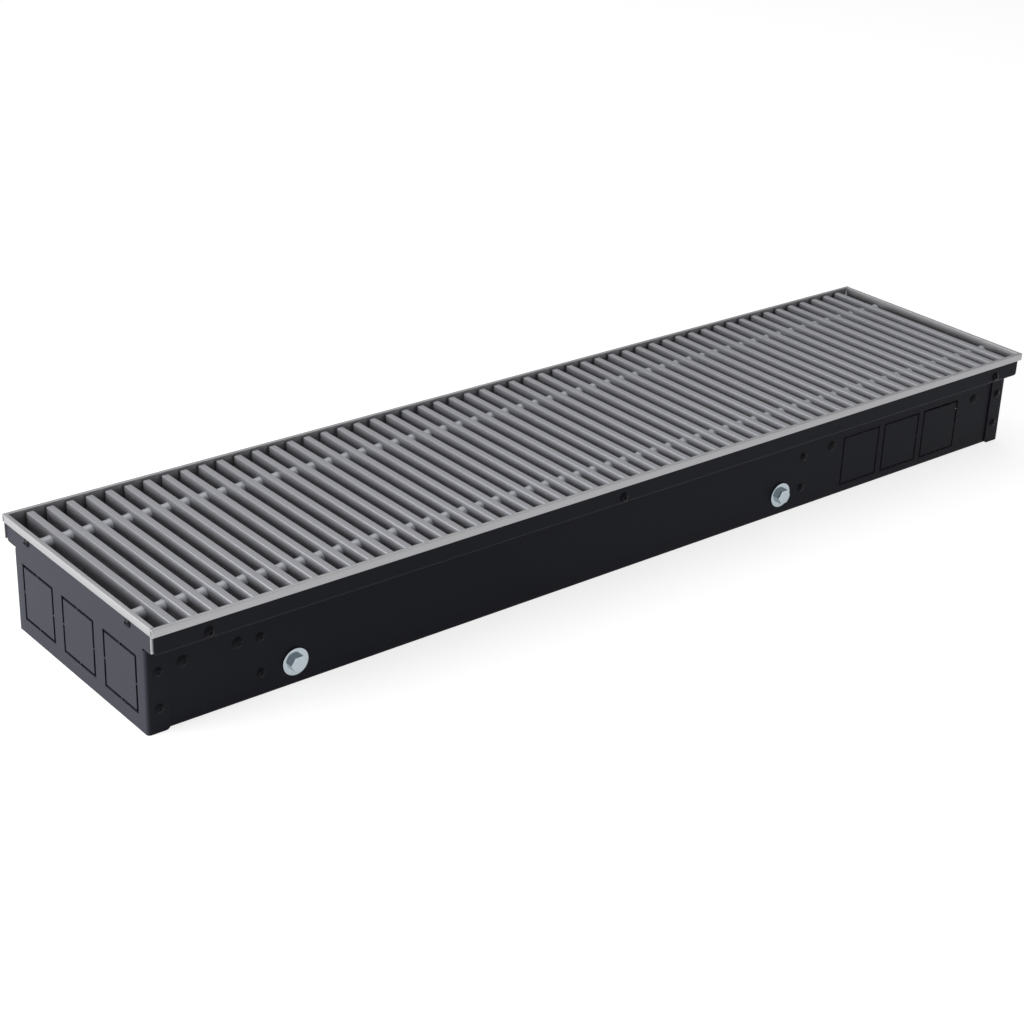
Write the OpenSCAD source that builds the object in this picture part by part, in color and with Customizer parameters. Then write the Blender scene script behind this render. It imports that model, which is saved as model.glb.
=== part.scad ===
// Trench convector heater: a folded steel trough set into the floor, with a finned
// copper heat exchanger inside and a roll-up grille of cross slats lying flush in an
// aluminium trim. Millimetres, +Z up. X runs along the heater, the connection end is
// at +X. The origin is the middle of the underside.

/* [Overall] */
// Length over the trim
heater_l = 1000; // [860:1:1400]
// Width over the trim
heater_w = 240; // [226:1:320]
// Height from the underside to the top of the trim
heater_h = 99; // [96:1:140]

/* [Trough] */
// Sheet thickness of the trough
trough_t = 1; // [0.8:0.1:1.5]
// Sheet thickness of the end plates
end_t = 1.5; // [1:0.1:2]
// Inner radius of every bend in the sheets
bend_r = 1.5; // [1:0.1:2]
// Step from the trim's outer face in to the face of the end plate's flange
wall_step = 15; // [14:0.5:22]
// Depth of the rim, from the top of the trim down to the underside of the ledge
rim_depth = 23.6; // [22.8:0.1:24.4]
// Width of the end plate's folded flanges
flange_w = 20; // [18:0.5:24]
// Radius of the rounded corners of the rim, the ears and the flanges
rim_corner_r = 4; // [2:0.5:6]

/* [Knock-outs] */
// Side of a knock-out, between the middles of its slits
knockout = 49; // [44:0.5:52]
// Width of the cut slit
slit_w = 1.8; // [1:0.1:2.5]
// Width of the four bridges that hold a knock-out
bridge_w = 3; // [2:0.5:6]
// Pitch of the knock-outs in the long walls
side_knockout_pitch = 57.6; // [56:0.1:62]
// Pitch of the knock-outs in the end plates
end_knockout_pitch = 66; // [58:0.5:72]
// Height of the middle of the side knock-outs
side_knockout_z = 34; // [32:0.5:44]
// Height of the middle of the end knock-outs
end_knockout_z = 39.2; // [34:0.1:44]
// Distance of the nearest side knock-out's middle from the connection end
side_knockout_end = 97; // [90:0.5:110]

/* [Trim] */
// Wall thickness of the trim's lip and leg
trim_skin = 1.1; // [0.9:0.1:1.4]
// Thickness of the trim's top
trim_top_t = 1.5; // [1.2:0.1:2]
// Height of the trim's outer lip
trim_lip_h = 7; // [6:0.1:7.5]
// Chamfer on the trim's upper edges
trim_edge = 0.4; // [0.2:0.1:0.6]

/* [Grille] */
// Pitch of the cross slats
slat_pitch = 18.04; // [16:0.01:24]
// Width of a slat
slat_w = 6.5; // [5:0.1:7.5]
// Height of a slat
slat_h = 18; // [17:0.1:18.6]
// Radius of the slat's long edges
slat_edge_r = 1.1; // [0.5:0.1:1.5]
// Depth of the slat tops below the top of the trim
grille_drop = 1.8; // [1.6:0.1:2.4]
// Distance of each rod from the middle line
rod_y = 73; // [60:1:84]
// Depth of the rods below the slat tops
rod_drop = 10; // [9:0.1:11]
// Rod diameter
rod_d = 4; // [3:0.5:5]
// Outer diameter of the spacer bobbins at their ends
bobbin_d = 12; // [10:0.5:14]
// Diameter of a bobbin at its waist
bobbin_waist_d = 10.4; // [8:0.1:11.5]
// Least room between the first slat's centre and the end trim
end_room = 11; // [10:0.5:14]

/* [Heat exchanger] */
// Distance of the left cross member's rivets from the left end
member_left = 103.5; // [96:0.5:150]
// Distance of the right cross member's rivets from the connection end
member_right = 292; // [286:1:330]
// Distance of the left bearer's bolts from the left end
bearer_left = 135; // [130:0.5:200]
// Distance of the right bearer's bolts from the connection end
bearer_right = 321; // [318:1:380]
// Fin width
fin_w = 110; // [96:1:116]
// Fin height
fin_h = 50; // [46:1:54]
// Fin thickness
fin_t = 0.4; // [0.3:0.05:0.8]
// Pitch of the fins
fin_pitch = 8; // [6:0.5:16]
// Outer diameter of the copper tubes
tube_d = 15; // [12:0.5:16]
// Wall of the copper tubes
tube_t = 0.8; // [0.7:0.1:1.2]
// Distance between the two tube rows
tube_gap_y = 55; // [50:1:60]
// Height between the lower and the upper tubes
tube_gap_z = 25; // [24:0.5:28]
// Thread bore radius of the pipe unions
union_thread_r = 9.3; // [8.5:0.1:10]
// Depth of the thread in the pipe unions
union_thread_l = 14; // [10:1:16]

/* [Fixings] */
// Distance of the end plate rivets from the ends
end_rivet_x = 12; // [10.5:0.5:13]
// Height of the lower rivets
rivet_low_z = 21; // [18:0.5:26]
// Depth of the upper rivets below the ledge
rivet_high_drop = 22.4; // [20:0.1:28]
// Height of the bearer bolts
bolt_z = 21.5; // [20:0.5:26]
// Depth of the blanking plugs below the ledge
plug_drop = 21; // [18:0.1:26]
// Travel of the levelling screws
level_travel = 18; // [10:1:24]
// Spacing of the floor fixing holes along the heater
floor_hole_l = 420; // [300:5:460]
// Spacing of the floor fixing holes across the heater
floor_hole_w = 156; // [140:2:170]
// Radius of the floor fixing holes
floor_hole_r = 4.5; // [3.5:0.1:5.5]

/* [Hidden] */
ends = [-1, 1];
fn_small = 24;
$fn = 48;
bend_steps = 4;
overrun = 2;
fit = 0.05;
joint_play = 0.1;

casing_paint = [0.13, 0.14, 0.16];
anodised = [0.62, 0.63, 0.66];
zinc = [0.68, 0.70, 0.72];
galvanised = [0.55, 0.57, 0.60];
copper = [0.72, 0.42, 0.27];
brass = [0.75, 0.62, 0.33];
rubber_black = [0.07, 0.07, 0.08];
plug_grey = [0.19, 0.21, 0.22];

// Casing planes, worked out from the outside inwards
half_l = heater_l / 2;
half_w = heater_w / 2;
rim_outer_y = half_w - trim_skin - joint_play;
rim_mid_y = rim_outer_y - trough_t / 2;
side_leg_in_y = rim_outer_y - trough_t - joint_play - trim_skin;
flange_outer_y = half_w - wall_step;
wall_outer_y = flange_outer_y - end_t;
wall_inner_y = wall_outer_y - trough_t;
plate_outer_x = half_l - trim_skin - joint_play;
plate_inner_x = plate_outer_x - end_t;
end_leg_in_x = plate_inner_x - joint_play - trim_skin;
trough_half_l = plate_inner_x - bend_r;
ledge_z = heater_h - rim_depth;
ledge_top_z = ledge_z + trough_t;
floor_top_z = trough_t;
trim_leg_z = ledge_top_z + bend_r;
rim_top_z = heater_h - trim_top_t;
flange_gap = 0.3;
flange_top_z = ledge_z - bend_r - flange_gap;
ear_gap = 0.2;
ear_half_w = side_leg_in_y - ear_gap;
ear_z = ledge_z + flange_gap;
wall_cut = 2 * (wall_outer_y - wall_inner_y + end_t + overrun);

// Grille planes
slat_top_z = heater_h - grille_drop;
slat_z = slat_top_z - slat_h;
slat_end_gap = 2.1;
slat_half_l = side_leg_in_y - slat_end_gap;
rod_z = slat_top_z - rod_drop;
bobbin_l = slat_pitch - slat_w;
rod_fit = 0.1;
cap_play = 0.6;
cap_wall = 3;
slat_steps = floor(2 * (end_leg_in_x - end_room) / slat_pitch);
first_slat_x = -slat_steps * slat_pitch / 2;
cap_l = end_leg_in_x + first_slat_x - slat_w / 2 - cap_play;

// Seal strip on the ledge
strip_w = 10;
strip_gap = 1;

// Heat exchanger planes
member_left_x = member_left - half_l;
member_right_x = half_l - member_right;
bearer_left_x = bearer_left - half_l;
bearer_right_x = half_l - bearer_right;
member_flange_w = 20;
member_t = 1.5;
member_top_gap = 8;
member_foot_gap = 0.3;
member_foot_h = 3.5;
member_clear = 6;
bearer_t = 2;
bearer_w = 28;
bearer_lift = 4;
bearer_arm_top = 16;
pad_t = 1;
pad_w = 24;
pad_inset = 4;
fin_z = floor_top_z + bearer_lift + bearer_t + pad_t;
fin_left_x = bearer_left_x - bearer_w / 2 - pad_inset;
fin_right_x = bearer_right_x + bearer_w / 2;
fin_steps = floor((fin_right_x - fin_left_x - fin_t) / fin_pitch);
fin_end_x = fin_left_x + fin_steps * fin_pitch + fin_t;
fin_corner = 3;
tube_r = tube_d / 2;
tube_bore_r = tube_r - tube_t;
tube_mid_z = fin_z + fin_h / 2;
tube_low_z = tube_mid_z - tube_gap_z / 2;
tube_high_z = tube_mid_z + tube_gap_z / 2;
tube_y = tube_gap_y / 2;
collar_t = 0.8;
tube_plate_t = 1.2;
tube_left_x = member_left_x - member_flange_w;
header_r = 11;
header_wall = 1.5;
header_cap = 14;
header_gap = 4;
header_x = member_right_x + member_flange_w + header_gap + header_r;
tube_high_right_x = header_x - header_gap;
union_socket_l = 12;
union_web = 5;
union_x = member_right_x + member_flange_w + header_gap;
union_l = union_socket_l + union_web + union_thread_l;
union_wall = 3.2;
union_hex_l = 12;
tube_low_right_x = union_x + union_socket_l;
bleed_boss_r = 6.5;
bleed_boss_reach = 13;
bleed_boss_low = 5;
bleed_boss_high = 9;
bleed_duct_r = 3.5;
bleed_bore_r = 3;
bleed_bore_l = 9;
bleed_head_r = 4.6;
bleed_head_h = 5;
bleed_slot_w = 1.2;
bleed_slot_d = 1.6;
bleed_gap = 0.3;
bleed_x = header_x + bleed_boss_reach;
boss_top_z = tube_high_z + bleed_boss_high;

// Fixings
rivet_high_z = ledge_z - rivet_high_drop;
rivet_r = 2;
rivet_head_r = 4;
rivet_head_h = 1.7;
rivet_bulb_r = 2.9;
rivet_bulb_l = 3.2;
mandrel_r = 1.1;
mandrel_d = 0.5;
bolt_r = 4;
bolt_head_af = 13;
bolt_head_h = 5.3;
bolt_end = 2;
nut_h = 6.5;
washer_r = 12;
washer_t = 2;
bolt_hole_r = 4.5;
screw_r = 1.6;
screw_head_r = 3.4;
screw_head_h = 2.2;
screw_recess_r = 1.2;
screw_recess_d = 1.1;
rim_screw_tip = 1.1;
end_screw_tip = 2.4;
rim_screw_lift = 5.2;
rim_screw_z = ledge_top_z + rim_screw_lift;
rim_screw_left = 49.5;
rim_screw_right = 37;
rim_screw_mid_share = 0.466;
end_screw_y = 81;
end_screw_drop = 3.7;
end_screw_z = heater_h - trim_lip_h - end_screw_drop;
plug_z = ledge_z - plug_drop;
plug_left_near = 34;
plug_left_far = 83;
plug_right_far = 254;
plug_right_near = 47;
plug_r = 5.2;
plug_h = 1.8;
plug_hole_r = 4;
plug_lip_r = 4.5;
plug_lip_h = 1.4;
plug_dimple_r = 1.3;
plug_dimple_d = 0.7;
plug_xs = [plug_left_near - half_l, plug_left_far - half_l, half_l - plug_right_far, half_l - plug_right_near];
rim_screw_xs = [rim_screw_left - half_l, (rim_screw_mid_share - 1 / 2) * heater_l, half_l - rim_screw_right];
knockout_xs = [for (i = [0:2]) half_l - side_knockout_end - i * side_knockout_pitch];
level_x_end = 30;
level_y_wall = 18;
level_x = half_l - level_x_end;
level_y = wall_inner_y - level_y_wall;
level_r = 4;
level_head_r = 6.5;
level_head_h = 8;
level_socket_af = 6;
level_socket_d = 4;
level_tip_gap = 0.3;
level_hole_r = 4.6;
level_nut_af = 13;
level_nut_h = 6.5;
level_nut_top_z = floor_top_z + level_nut_h;
floor_hole_x = (bearer_left_x + bearer_right_x) / 2;

// Unit vector, its left normal, and a vector turned by an angle
function unit(v) = v / norm(v);
function left_of(v) = [-v[1], v[0]];
function turned(v, a) = [v[0] * cos(a) - v[1] * sin(a), v[0] * sin(a) + v[1] * cos(a)];
function bend_angle(a, b) = atan2(a[0] * b[1] - a[1] * b[0], a * b);

// Points of one round bend at a sheet's corner p, on the side that lies o to the left
function bend_points(before, p, after, o, r) =
  let (d = unit(p - before), angle = bend_angle(d, unit(after - p)), s = sign(angle),
       start = p - d * r * tan(abs(angle) / 2), centre = start + s * r * left_of(d))
  [for (k = [0:bend_steps]) centre - s * (r - s * o) * turned(left_of(d), angle * k / bend_steps)];

// One side of a bent sheet whose middle follows a path
function sheet_side(path, o, r) = let (n = len(path) - 1) [
  path[0] + o * left_of(unit(path[1] - path[0])),
  for (i = [1:n - 1]) each bend_points(path[i - 1], path[i], path[i + 1], o, r),
  path[n] + o * left_of(unit(path[n] - path[n - 1]))
];

// Closed outline of a sheet of thickness t bent along a path, with inner radius bend_r
function sheet_outline(path, t) = let (
  one = sheet_side(path, t / 2, bend_r + t / 2),
  other = sheet_side(path, -t / 2, bend_r + t / 2))
  concat(one, [for (i = [len(other) - 1:-1:0]) other[i]]);

// Mirror image of a half path on the other side of x = 0
function both_sides(half) = concat(half, [for (i = [len(half) - 1:-1:0]) [-half[i][0], half[i][1]]]);

// Radius of the ball whose cap has radius r and height h
function cap_ball_r(r, h) = (r * r + h * h) / (2 * h);

// Low domed head standing on z = 0
module dome(r, h) {
  intersection() {
    translate([0, 0, h - cap_ball_r(r, h)]) sphere(r = cap_ball_r(r, h));
    cylinder(r = r, h = h);
  }
}

// Ring of outer radius r, bore b and height h
module ring(r, b, h) {
  linear_extrude(height = h) difference() {
    circle(r = r);
    circle(r = b);
  }
}

// Hexagon prism of the given width across flats
module hex(af, h) {
  cylinder(r = af / sqrt(3), h = h, $fn = 6);
}

// Carries an upright profile, drawn in Y and Z, along X from x0 to x1
module along_x(x0, x1) {
  translate([x0, 0, 0]) rotate([90, 0, 90]) linear_extrude(height = x1 - x0) children();
}

// Puts a fixing, drawn with its head up, on a long wall with its head outwards
module on_wall(side, x, y, z) {
  translate([x, side * y, z]) rotate([-side * 90, 0, 0]) children();
}

// The same on an end plate
module on_end(side, x, y, z) {
  translate([side * x, y, z]) rotate([0, side * 90, 0]) children();
}

// Cuts a flat shape, drawn in X and Z, through the long wall on one side
module through_wall(side) {
  translate([0, side * wall_outer_y, 0]) rotate([90, 0, 0])
    linear_extrude(height = wall_cut, center = true) children();
}

// Cuts a flat shape, drawn in Y and Z, through the end plate on the left
module through_end() {
  along_x(-plate_outer_x - overrun, -plate_inner_x + overrun) children();
}

// The slits round one knock-out, broken by four bridges
module knockout_slits() {
  difference() {
    square(knockout + slit_w, center = true);
    square(knockout - slit_w, center = true);
    square([bridge_w, 2 * knockout], center = true);
    square([2 * knockout, bridge_w], center = true);
  }
}

// Places where the long walls carry blind rivets
module at_end_rivets() {
  for (side = ends, end = ends, z = [rivet_low_z, rivet_high_z])
    on_wall(side, end * (half_l - end_rivet_x), flange_outer_y, z) children();
}

module at_member_rivets() {
  for (side = ends, x = [member_left_x, member_right_x], z = [rivet_low_z, rivet_high_z])
    on_wall(side, x, wall_outer_y, z) children();
}

module at_bearer_bolts() {
  for (side = ends, x = [bearer_left_x, bearer_right_x])
    on_wall(side, x, wall_outer_y, bolt_z) children();
}

module at_plugs() {
  for (side = ends, x = plug_xs) on_wall(side, x, wall_outer_y, plug_z) children();
}

module at_rim_screws() {
  for (side = ends, x = rim_screw_xs) on_wall(side, x, rim_outer_y, rim_screw_z) children();
}

module at_end_screws() {
  for (side = ends, y = ends) on_end(side, plate_outer_x, y * end_screw_y, end_screw_z) children();
}

// A hole of radius r that runs from a fixing's seat inwards
module hole(r, depth) {
  translate([0, 0, -depth]) cylinder(r = r, h = depth + overrun);
}

// Middle of the trough's sheet, from the front rim down, across and up to the back rim
trough_path = both_sides([
  [-rim_mid_y, rim_top_z],
  [-rim_mid_y, ledge_z + trough_t / 2],
  [-(wall_outer_y - trough_t / 2), ledge_z + trough_t / 2],
  [-(wall_outer_y - trough_t / 2), trough_t / 2]
]);

// What rounding takes off an outline whose lower right corner is the origin
module corner_waste() {
  difference() {
    translate([-rim_corner_r, -overrun]) square(rim_corner_r + overrun);
    translate([-rim_corner_r, rim_corner_r]) circle(r = rim_corner_r);
  }
}

// What is cut off one end of the ledge and rim to round their corner
module rim_corner_cut() {
  for (side = ends) translate([trough_half_l, side * (half_w + wall_outer_y) / 2, ledge_z]) rotate([90, 0, 0])
    linear_extrude(height = half_w - wall_outer_y, center = true) corner_waste();
}

// The trough: one folded sheet with walls, ledges and rims
module trough_body() {
  color(casing_paint) difference() {
    along_x(-trough_half_l, trough_half_l) polygon(sheet_outline(trough_path, trough_t));
    rim_corner_cut();
    mirror([1, 0, 0]) rim_corner_cut();
    for (side = ends, x = knockout_xs)
      through_wall(side) translate([x, side_knockout_z]) knockout_slits();
    at_end_rivets() hole(rivet_r + fit, end_t + trough_t + overrun);
    at_member_rivets() hole(rivet_r + fit, trough_t + overrun);
    at_bearer_bolts() hole(bolt_hole_r, trough_t + overrun);
    at_plugs() hole(plug_hole_r, trough_t + overrun);
    at_rim_screws() hole(screw_r + fit, trough_t + joint_play);
    for (x = ends, y = ends) translate([x * level_x, y * level_y, floor_top_z])
      hole(level_hole_r, trough_t + overrun);
    for (x = ends, y = ends) translate([floor_hole_x + x * floor_hole_l / 2, y * floor_hole_w / 2, floor_top_z])
      hole(floor_hole_r, trough_t + overrun);
  }
}

// Flat T of the left end plate, drawn in Y and Z
module end_plate_face() {
  neck = flange_outer_y - bend_r - end_t;
  translate([-neck, 0]) square([2 * neck, rim_top_z]);
  difference() {
    translate([-ear_half_w, ear_z]) square([2 * ear_half_w, rim_top_z - ear_z]);
    for (turn = [0, 1]) mirror([turn, 0]) translate([ear_half_w, ear_z]) corner_waste();
  }
}

// Left end plate with the side flanges that clasp the trough
module end_plate_left() {
  mid_x = plate_outer_x - end_t / 2;
  tip_x = plate_outer_x - flange_w;
  side_y = flange_outer_y - end_t / 2;
  color(casing_paint) difference() {
    union() {
      linear_extrude(height = flange_top_z)
        polygon(sheet_outline([[-tip_x, -side_y], [-mid_x, -side_y], [-mid_x, side_y], [-tip_x, side_y]], end_t));
      along_x(-plate_outer_x, -plate_inner_x) end_plate_face();
    }
    rotate([90, 0, 0]) linear_extrude(height = heater_w, center = true) {
      translate([-tip_x, 0]) corner_waste();
      translate([-tip_x, flange_top_z]) mirror([0, 1]) corner_waste();
    }
    for (i = [-1:1]) through_end() translate([i * end_knockout_pitch, end_knockout_z]) knockout_slits();
    at_end_rivets() hole(rivet_r + fit, end_t + joint_play);
    at_end_screws() hole(screw_r + fit, end_t + joint_play);
  }
}

module end_plate_right() {
  mirror([1, 0, 0]) end_plate_left();
}

// Blind rivet: domed head with a sunk mandrel, shank, and the bulb behind the sheets
module blind_rivet(grip) {
  difference() {
    dome(rivet_head_r, rivet_head_h);
    translate([0, 0, rivet_head_h - mandrel_d]) cylinder(r = mandrel_r, h = overrun, $fn = fn_small);
  }
  translate([0, 0, -grip]) cylinder(r = rivet_r, h = grip);
  translate([0, 0, -grip - rivet_bulb_l]) cylinder(r = rivet_bulb_r, h = rivet_bulb_l);
}

module end_plate_rivets() {
  color(casing_paint) at_end_rivets() blind_rivet(end_t + trough_t);
}

module cross_member_rivets() {
  color(casing_paint) at_member_rivets() blind_rivet(trough_t + member_t);
}

// F-shaped trim profile: top, short outer lip and tall inner leg, with a slot for a sheet.
// Drawn with its outer face at 0 and its body towards +X.
module trim_profile(sheet) {
  slot_in = trim_skin + joint_play;
  leg_out = slot_in + sheet + joint_play;
  leg_in = leg_out + trim_skin;
  top = heater_h;
  polygon([
    [0, top - trim_edge], [0, top - trim_lip_h], [trim_skin, top - trim_lip_h],
    [trim_skin, top - trim_top_t], [leg_out, top - trim_top_t], [leg_out, trim_leg_z],
    [leg_in, trim_leg_z], [leg_in, top - trim_edge], [leg_in - trim_edge, top], [trim_edge, top]
  ]);
}

// Long trim profile, which runs through at the corners
module trim_front() {
  color(anodised) difference() {
    along_x(-half_l, half_l) translate([-half_w, 0]) trim_profile(trough_t);
    at_rim_screws() hole(screw_r + fit, wall_step);
  }
}

module trim_back() {
  mirror([0, 1, 0]) trim_front();
}

// End trim profile, which butts between the long ones
module trim_left() {
  half_run = side_leg_in_y - joint_play;
  color(anodised) difference() {
    translate([0, half_run, 0]) rotate([90, 0, 0]) linear_extrude(height = 2 * half_run)
      translate([-half_l, 0]) trim_profile(end_t);
    at_end_screws() hole(screw_r + fit, flange_w);
  }
}

module trim_right() {
  mirror([1, 0, 0]) trim_left();
}

// Pan head screw with a drive recess
module pan_screw(length) {
  difference() {
    dome(screw_head_r, screw_head_h);
    translate([0, 0, screw_head_h - screw_recess_d]) cylinder(r = screw_recess_r, h = overrun, $fn = 6);
  }
  translate([0, 0, -length]) cylinder(r = screw_r, h = length);
}

module rim_screws() {
  color(casing_paint) at_rim_screws() pan_screw(trough_t + joint_play + trim_skin + rim_screw_tip);
}

module end_screws() {
  color(casing_paint) at_end_screws() pan_screw(end_t + joint_play + trim_skin + end_screw_tip);
}

// Soft strip on the ledge, under the slat ends
module seal_strip_front() {
  color(rubber_black) along_x(-trough_half_l, trough_half_l)
    translate([-side_leg_in_y + strip_gap, ledge_top_z]) square([strip_w, slat_z - ledge_top_z]);
}

module seal_strip_back() {
  mirror([0, 1, 0]) seal_strip_front();
}

// Domed blanking plug, clipped in the wall by a lip
module blanking_plug() {
  difference() {
    dome(plug_r, plug_h);
    translate([0, 0, plug_h - plug_dimple_d]) cylinder(r = plug_dimple_r, h = overrun, $fn = fn_small);
  }
  translate([0, 0, -trough_t]) cylinder(r = plug_hole_r - fit, h = trough_t);
  translate([0, 0, -trough_t - plug_lip_h]) cylinder(r1 = plug_hole_r - plug_lip_h / 2, r2 = plug_lip_r, h = plug_lip_h);
}

module wall_plugs() {
  color(plug_grey) at_plugs() blanking_plug();
}

// Cross member: a web across the trough, notched for the exchanger, with flanges
// folded along the walls and riveted to them. The web stands on one side of the rivets.
module cross_member(x, web_side) {
  web_x = x + web_side * member_flange_w / 2;
  tip_x = x - web_side * member_flange_w / 2;
  half = wall_inner_y - member_t / 2;
  foot_z = floor_top_z + bend_r + member_foot_gap;
  top_z = ledge_z - member_top_gap;
  notch = fin_w / 2 + member_clear;
  color(galvanised) difference() {
    translate([0, 0, foot_z]) linear_extrude(height = top_z - foot_z)
      polygon(sheet_outline([[tip_x, -half], [web_x, -half], [web_x, half], [tip_x, half]], member_t));
    translate([web_x - member_flange_w / 2, -notch, foot_z + member_foot_h])
      cube([member_flange_w, 2 * notch, top_z]);
    at_member_rivets() hole(rivet_r + fit, trough_t + member_t + joint_play);
  }
}

module cross_member_left() {
  cross_member(member_left_x, -1);
}

module cross_member_right() {
  cross_member(member_right_x, 1);
}

// Bearer: a strap across the trough that carries the exchanger, bolted to both walls
module bearer(x) {
  arm_y = wall_inner_y - bearer_t / 2;
  base_z = floor_top_z + bearer_lift + bearer_t / 2;
  color(galvanised) difference() {
    along_x(x - bearer_w / 2, x + bearer_w / 2)
      polygon(sheet_outline(both_sides([[-arm_y, bolt_z + bearer_arm_top], [-arm_y, base_z]]), bearer_t));
    at_bearer_bolts() hole(bolt_hole_r, wall_step);
  }
}

module bearer_left() {
  bearer(bearer_left_x);
}

module bearer_right() {
  bearer(bearer_right_x);
}

// Sliding pads between the bearers and the fins
module bearer_pads() {
  color(rubber_black) for (x = [bearer_left_x, bearer_right_x])
    translate([x - pad_w / 2, -fin_w / 2, fin_z - pad_t]) cube([pad_w, fin_w, pad_t]);
}

module bearer_bolts() {
  length = washer_t + trough_t + bearer_t + nut_h + bolt_end;
  color(zinc) at_bearer_bolts() translate([0, 0, washer_t]) {
    hex(bolt_head_af, bolt_head_h);
    translate([0, 0, -length]) cylinder(r = bolt_r, h = length);
  }
}

module bearer_washers() {
  color(zinc) at_bearer_bolts() ring(washer_r, bolt_hole_r, washer_t);
}

module bearer_nuts() {
  color(zinc) at_bearer_bolts() translate([0, 0, -trough_t - bearer_t - nut_h]) difference() {
    hex(bolt_head_af, nut_h);
    translate([0, 0, -overrun]) cylinder(r = bolt_r + fit, h = nut_h + 2 * overrun);
  }
}

// Places of the four tubes, seen along X
module at_tubes() {
  for (y = ends, z = [tube_low_z, tube_high_z]) translate([y * tube_y, z]) children();
}

// Outline of one fin
module fin_shape() {
  y = fin_w / 2;
  polygon([
    [-y + fin_corner, fin_z], [y - fin_corner, fin_z], [y, fin_z + fin_corner],
    [y, fin_z + fin_h - fin_corner], [y - fin_corner, fin_z + fin_h], [-y + fin_corner, fin_z + fin_h],
    [-y, fin_z + fin_h - fin_corner], [-y, fin_z + fin_corner]
  ]);
}

// The fins stand on collars that meet and sleeve the tubes from end to end
module fin_pack() {
  color(anodised) {
    for (i = [0:fin_steps])
      along_x(fin_left_x + i * fin_pitch, fin_left_x + i * fin_pitch + fin_t) difference() {
        fin_shape();
        at_tubes() circle(r = tube_r + fit);
      }
    along_x(fin_left_x, fin_end_x) at_tubes() difference() {
      circle(r = tube_r + fit + collar_t);
      circle(r = tube_r + fit);
    }
  }
}

// Stiff plate that closes the fin pack at one end
module tube_plate(x0) {
  color(galvanised) along_x(x0, x0 + tube_plate_t) difference() {
    fin_shape();
    at_tubes() circle(r = tube_r + fit);
  }
}

module tube_plate_left() {
  tube_plate(fin_left_x - tube_plate_t);
}

module tube_plate_right() {
  tube_plate(fin_end_x);
}

// One straight copper tube
module tube(side, z, right_x) {
  color(copper) along_x(tube_left_x, right_x) translate([side * tube_y, z]) difference() {
    circle(r = tube_r);
    circle(r = tube_bore_r);
  }
}

// Half ring that joins the lower and upper tube of one row at the left end
module return_bend(side) {
  color(copper) translate([tube_left_x, side * tube_y, tube_mid_z]) rotate([0, -90, 0]) rotate([90, 0, 0])
    rotate_extrude(angle = 180) translate([tube_gap_z / 2, 0]) difference() {
      circle(r = tube_r);
      circle(r = tube_bore_r);
    }
}

// Brass header that joins the two upper tubes. The bleed valve's boss stands beside it,
// so that its screw is reached from above and still stays low under the grille.
module crossover_header() {
  half = tube_y + header_cap;
  boss_h = bleed_boss_low + bleed_boss_high;
  color(brass) difference() {
    union() {
      translate([header_x, half, tube_high_z]) rotate([90, 0, 0]) cylinder(r = header_r, h = 2 * half);
      translate([bleed_x, 0, boss_top_z - boss_h]) cylinder(r = bleed_boss_r, h = boss_h);
    }
    translate([header_x, half - header_wall, tube_high_z]) rotate([90, 0, 0])
      cylinder(r = header_r - header_wall, h = 2 * (half - header_wall));
    along_x(header_x - 2 * header_r, header_x) for (y = ends) translate([y * tube_y, tube_high_z])
      circle(r = tube_r + fit);
    translate([bleed_x, 0, boss_top_z - bleed_bore_l - header_wall])
      cylinder(r = bleed_bore_r + fit, h = bleed_bore_l + header_wall + overrun);
    along_x(header_x, bleed_x) translate([0, tube_high_z]) circle(r = bleed_duct_r, $fn = fn_small);
  }
}

// Bleed screw with a slotted head
module bleed_screw() {
  color(zinc) translate([bleed_x, 0, boss_top_z + bleed_gap]) difference() {
    union() {
      cylinder(r = bleed_head_r, h = bleed_head_h);
      translate([0, 0, -bleed_bore_l]) cylinder(r = bleed_bore_r, h = bleed_bore_l);
    }
    translate([-bleed_head_r, -bleed_slot_w / 2, bleed_head_h - bleed_slot_d])
      cube([2 * bleed_head_r, bleed_slot_w, bleed_slot_d + overrun]);
  }
}

// Pipe union: socket for the tube, a hexagon to hold, and an inside thread
module pipe_union(side) {
  outer = union_thread_r + union_wall;
  color(brass) translate([union_x, side * tube_y, tube_low_z]) rotate([0, 90, 0]) difference() {
    union() {
      cylinder(r = outer, h = union_l);
      translate([0, 0, union_l - union_hex_l]) hex(2 * outer, union_hex_l);
    }
    translate([0, 0, -overrun]) cylinder(r = tube_r + fit, h = union_socket_l + overrun);
    cylinder(r = tube_bore_r, h = union_l);
    translate([0, 0, union_l - union_thread_l]) cylinder(r = union_thread_r, h = union_thread_l + overrun);
  }
}

module supply_union() {
  pipe_union(-1);
}

module return_union() {
  pipe_union(1);
}

// Nuts fixed on the trough's floor for the levelling screws
module levelling_nuts() {
  color(zinc) for (x = ends, y = ends) translate([x * level_x, y * level_y, floor_top_z]) difference() {
    hex(level_nut_af, level_nut_h);
    translate([0, 0, -overrun]) cylinder(r = level_r + fit, h = level_nut_h + 2 * overrun);
  }
}

// Levelling screw, shown wound up, with a hexagon socket in its head
module levelling_screw(x, y) {
  head_z = level_nut_top_z + level_travel + level_tip_gap;
  color(zinc) translate([x * level_x, y * level_y, 0]) difference() {
    union() {
      translate([0, 0, level_tip_gap]) cylinder(r = level_r, h = head_z - level_tip_gap);
      translate([0, 0, head_z]) cylinder(r = level_head_r, h = level_head_h);
    }
    translate([0, 0, head_z + level_head_h - level_socket_d]) hex(level_socket_af, level_socket_d + overrun);
  }
}

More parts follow.
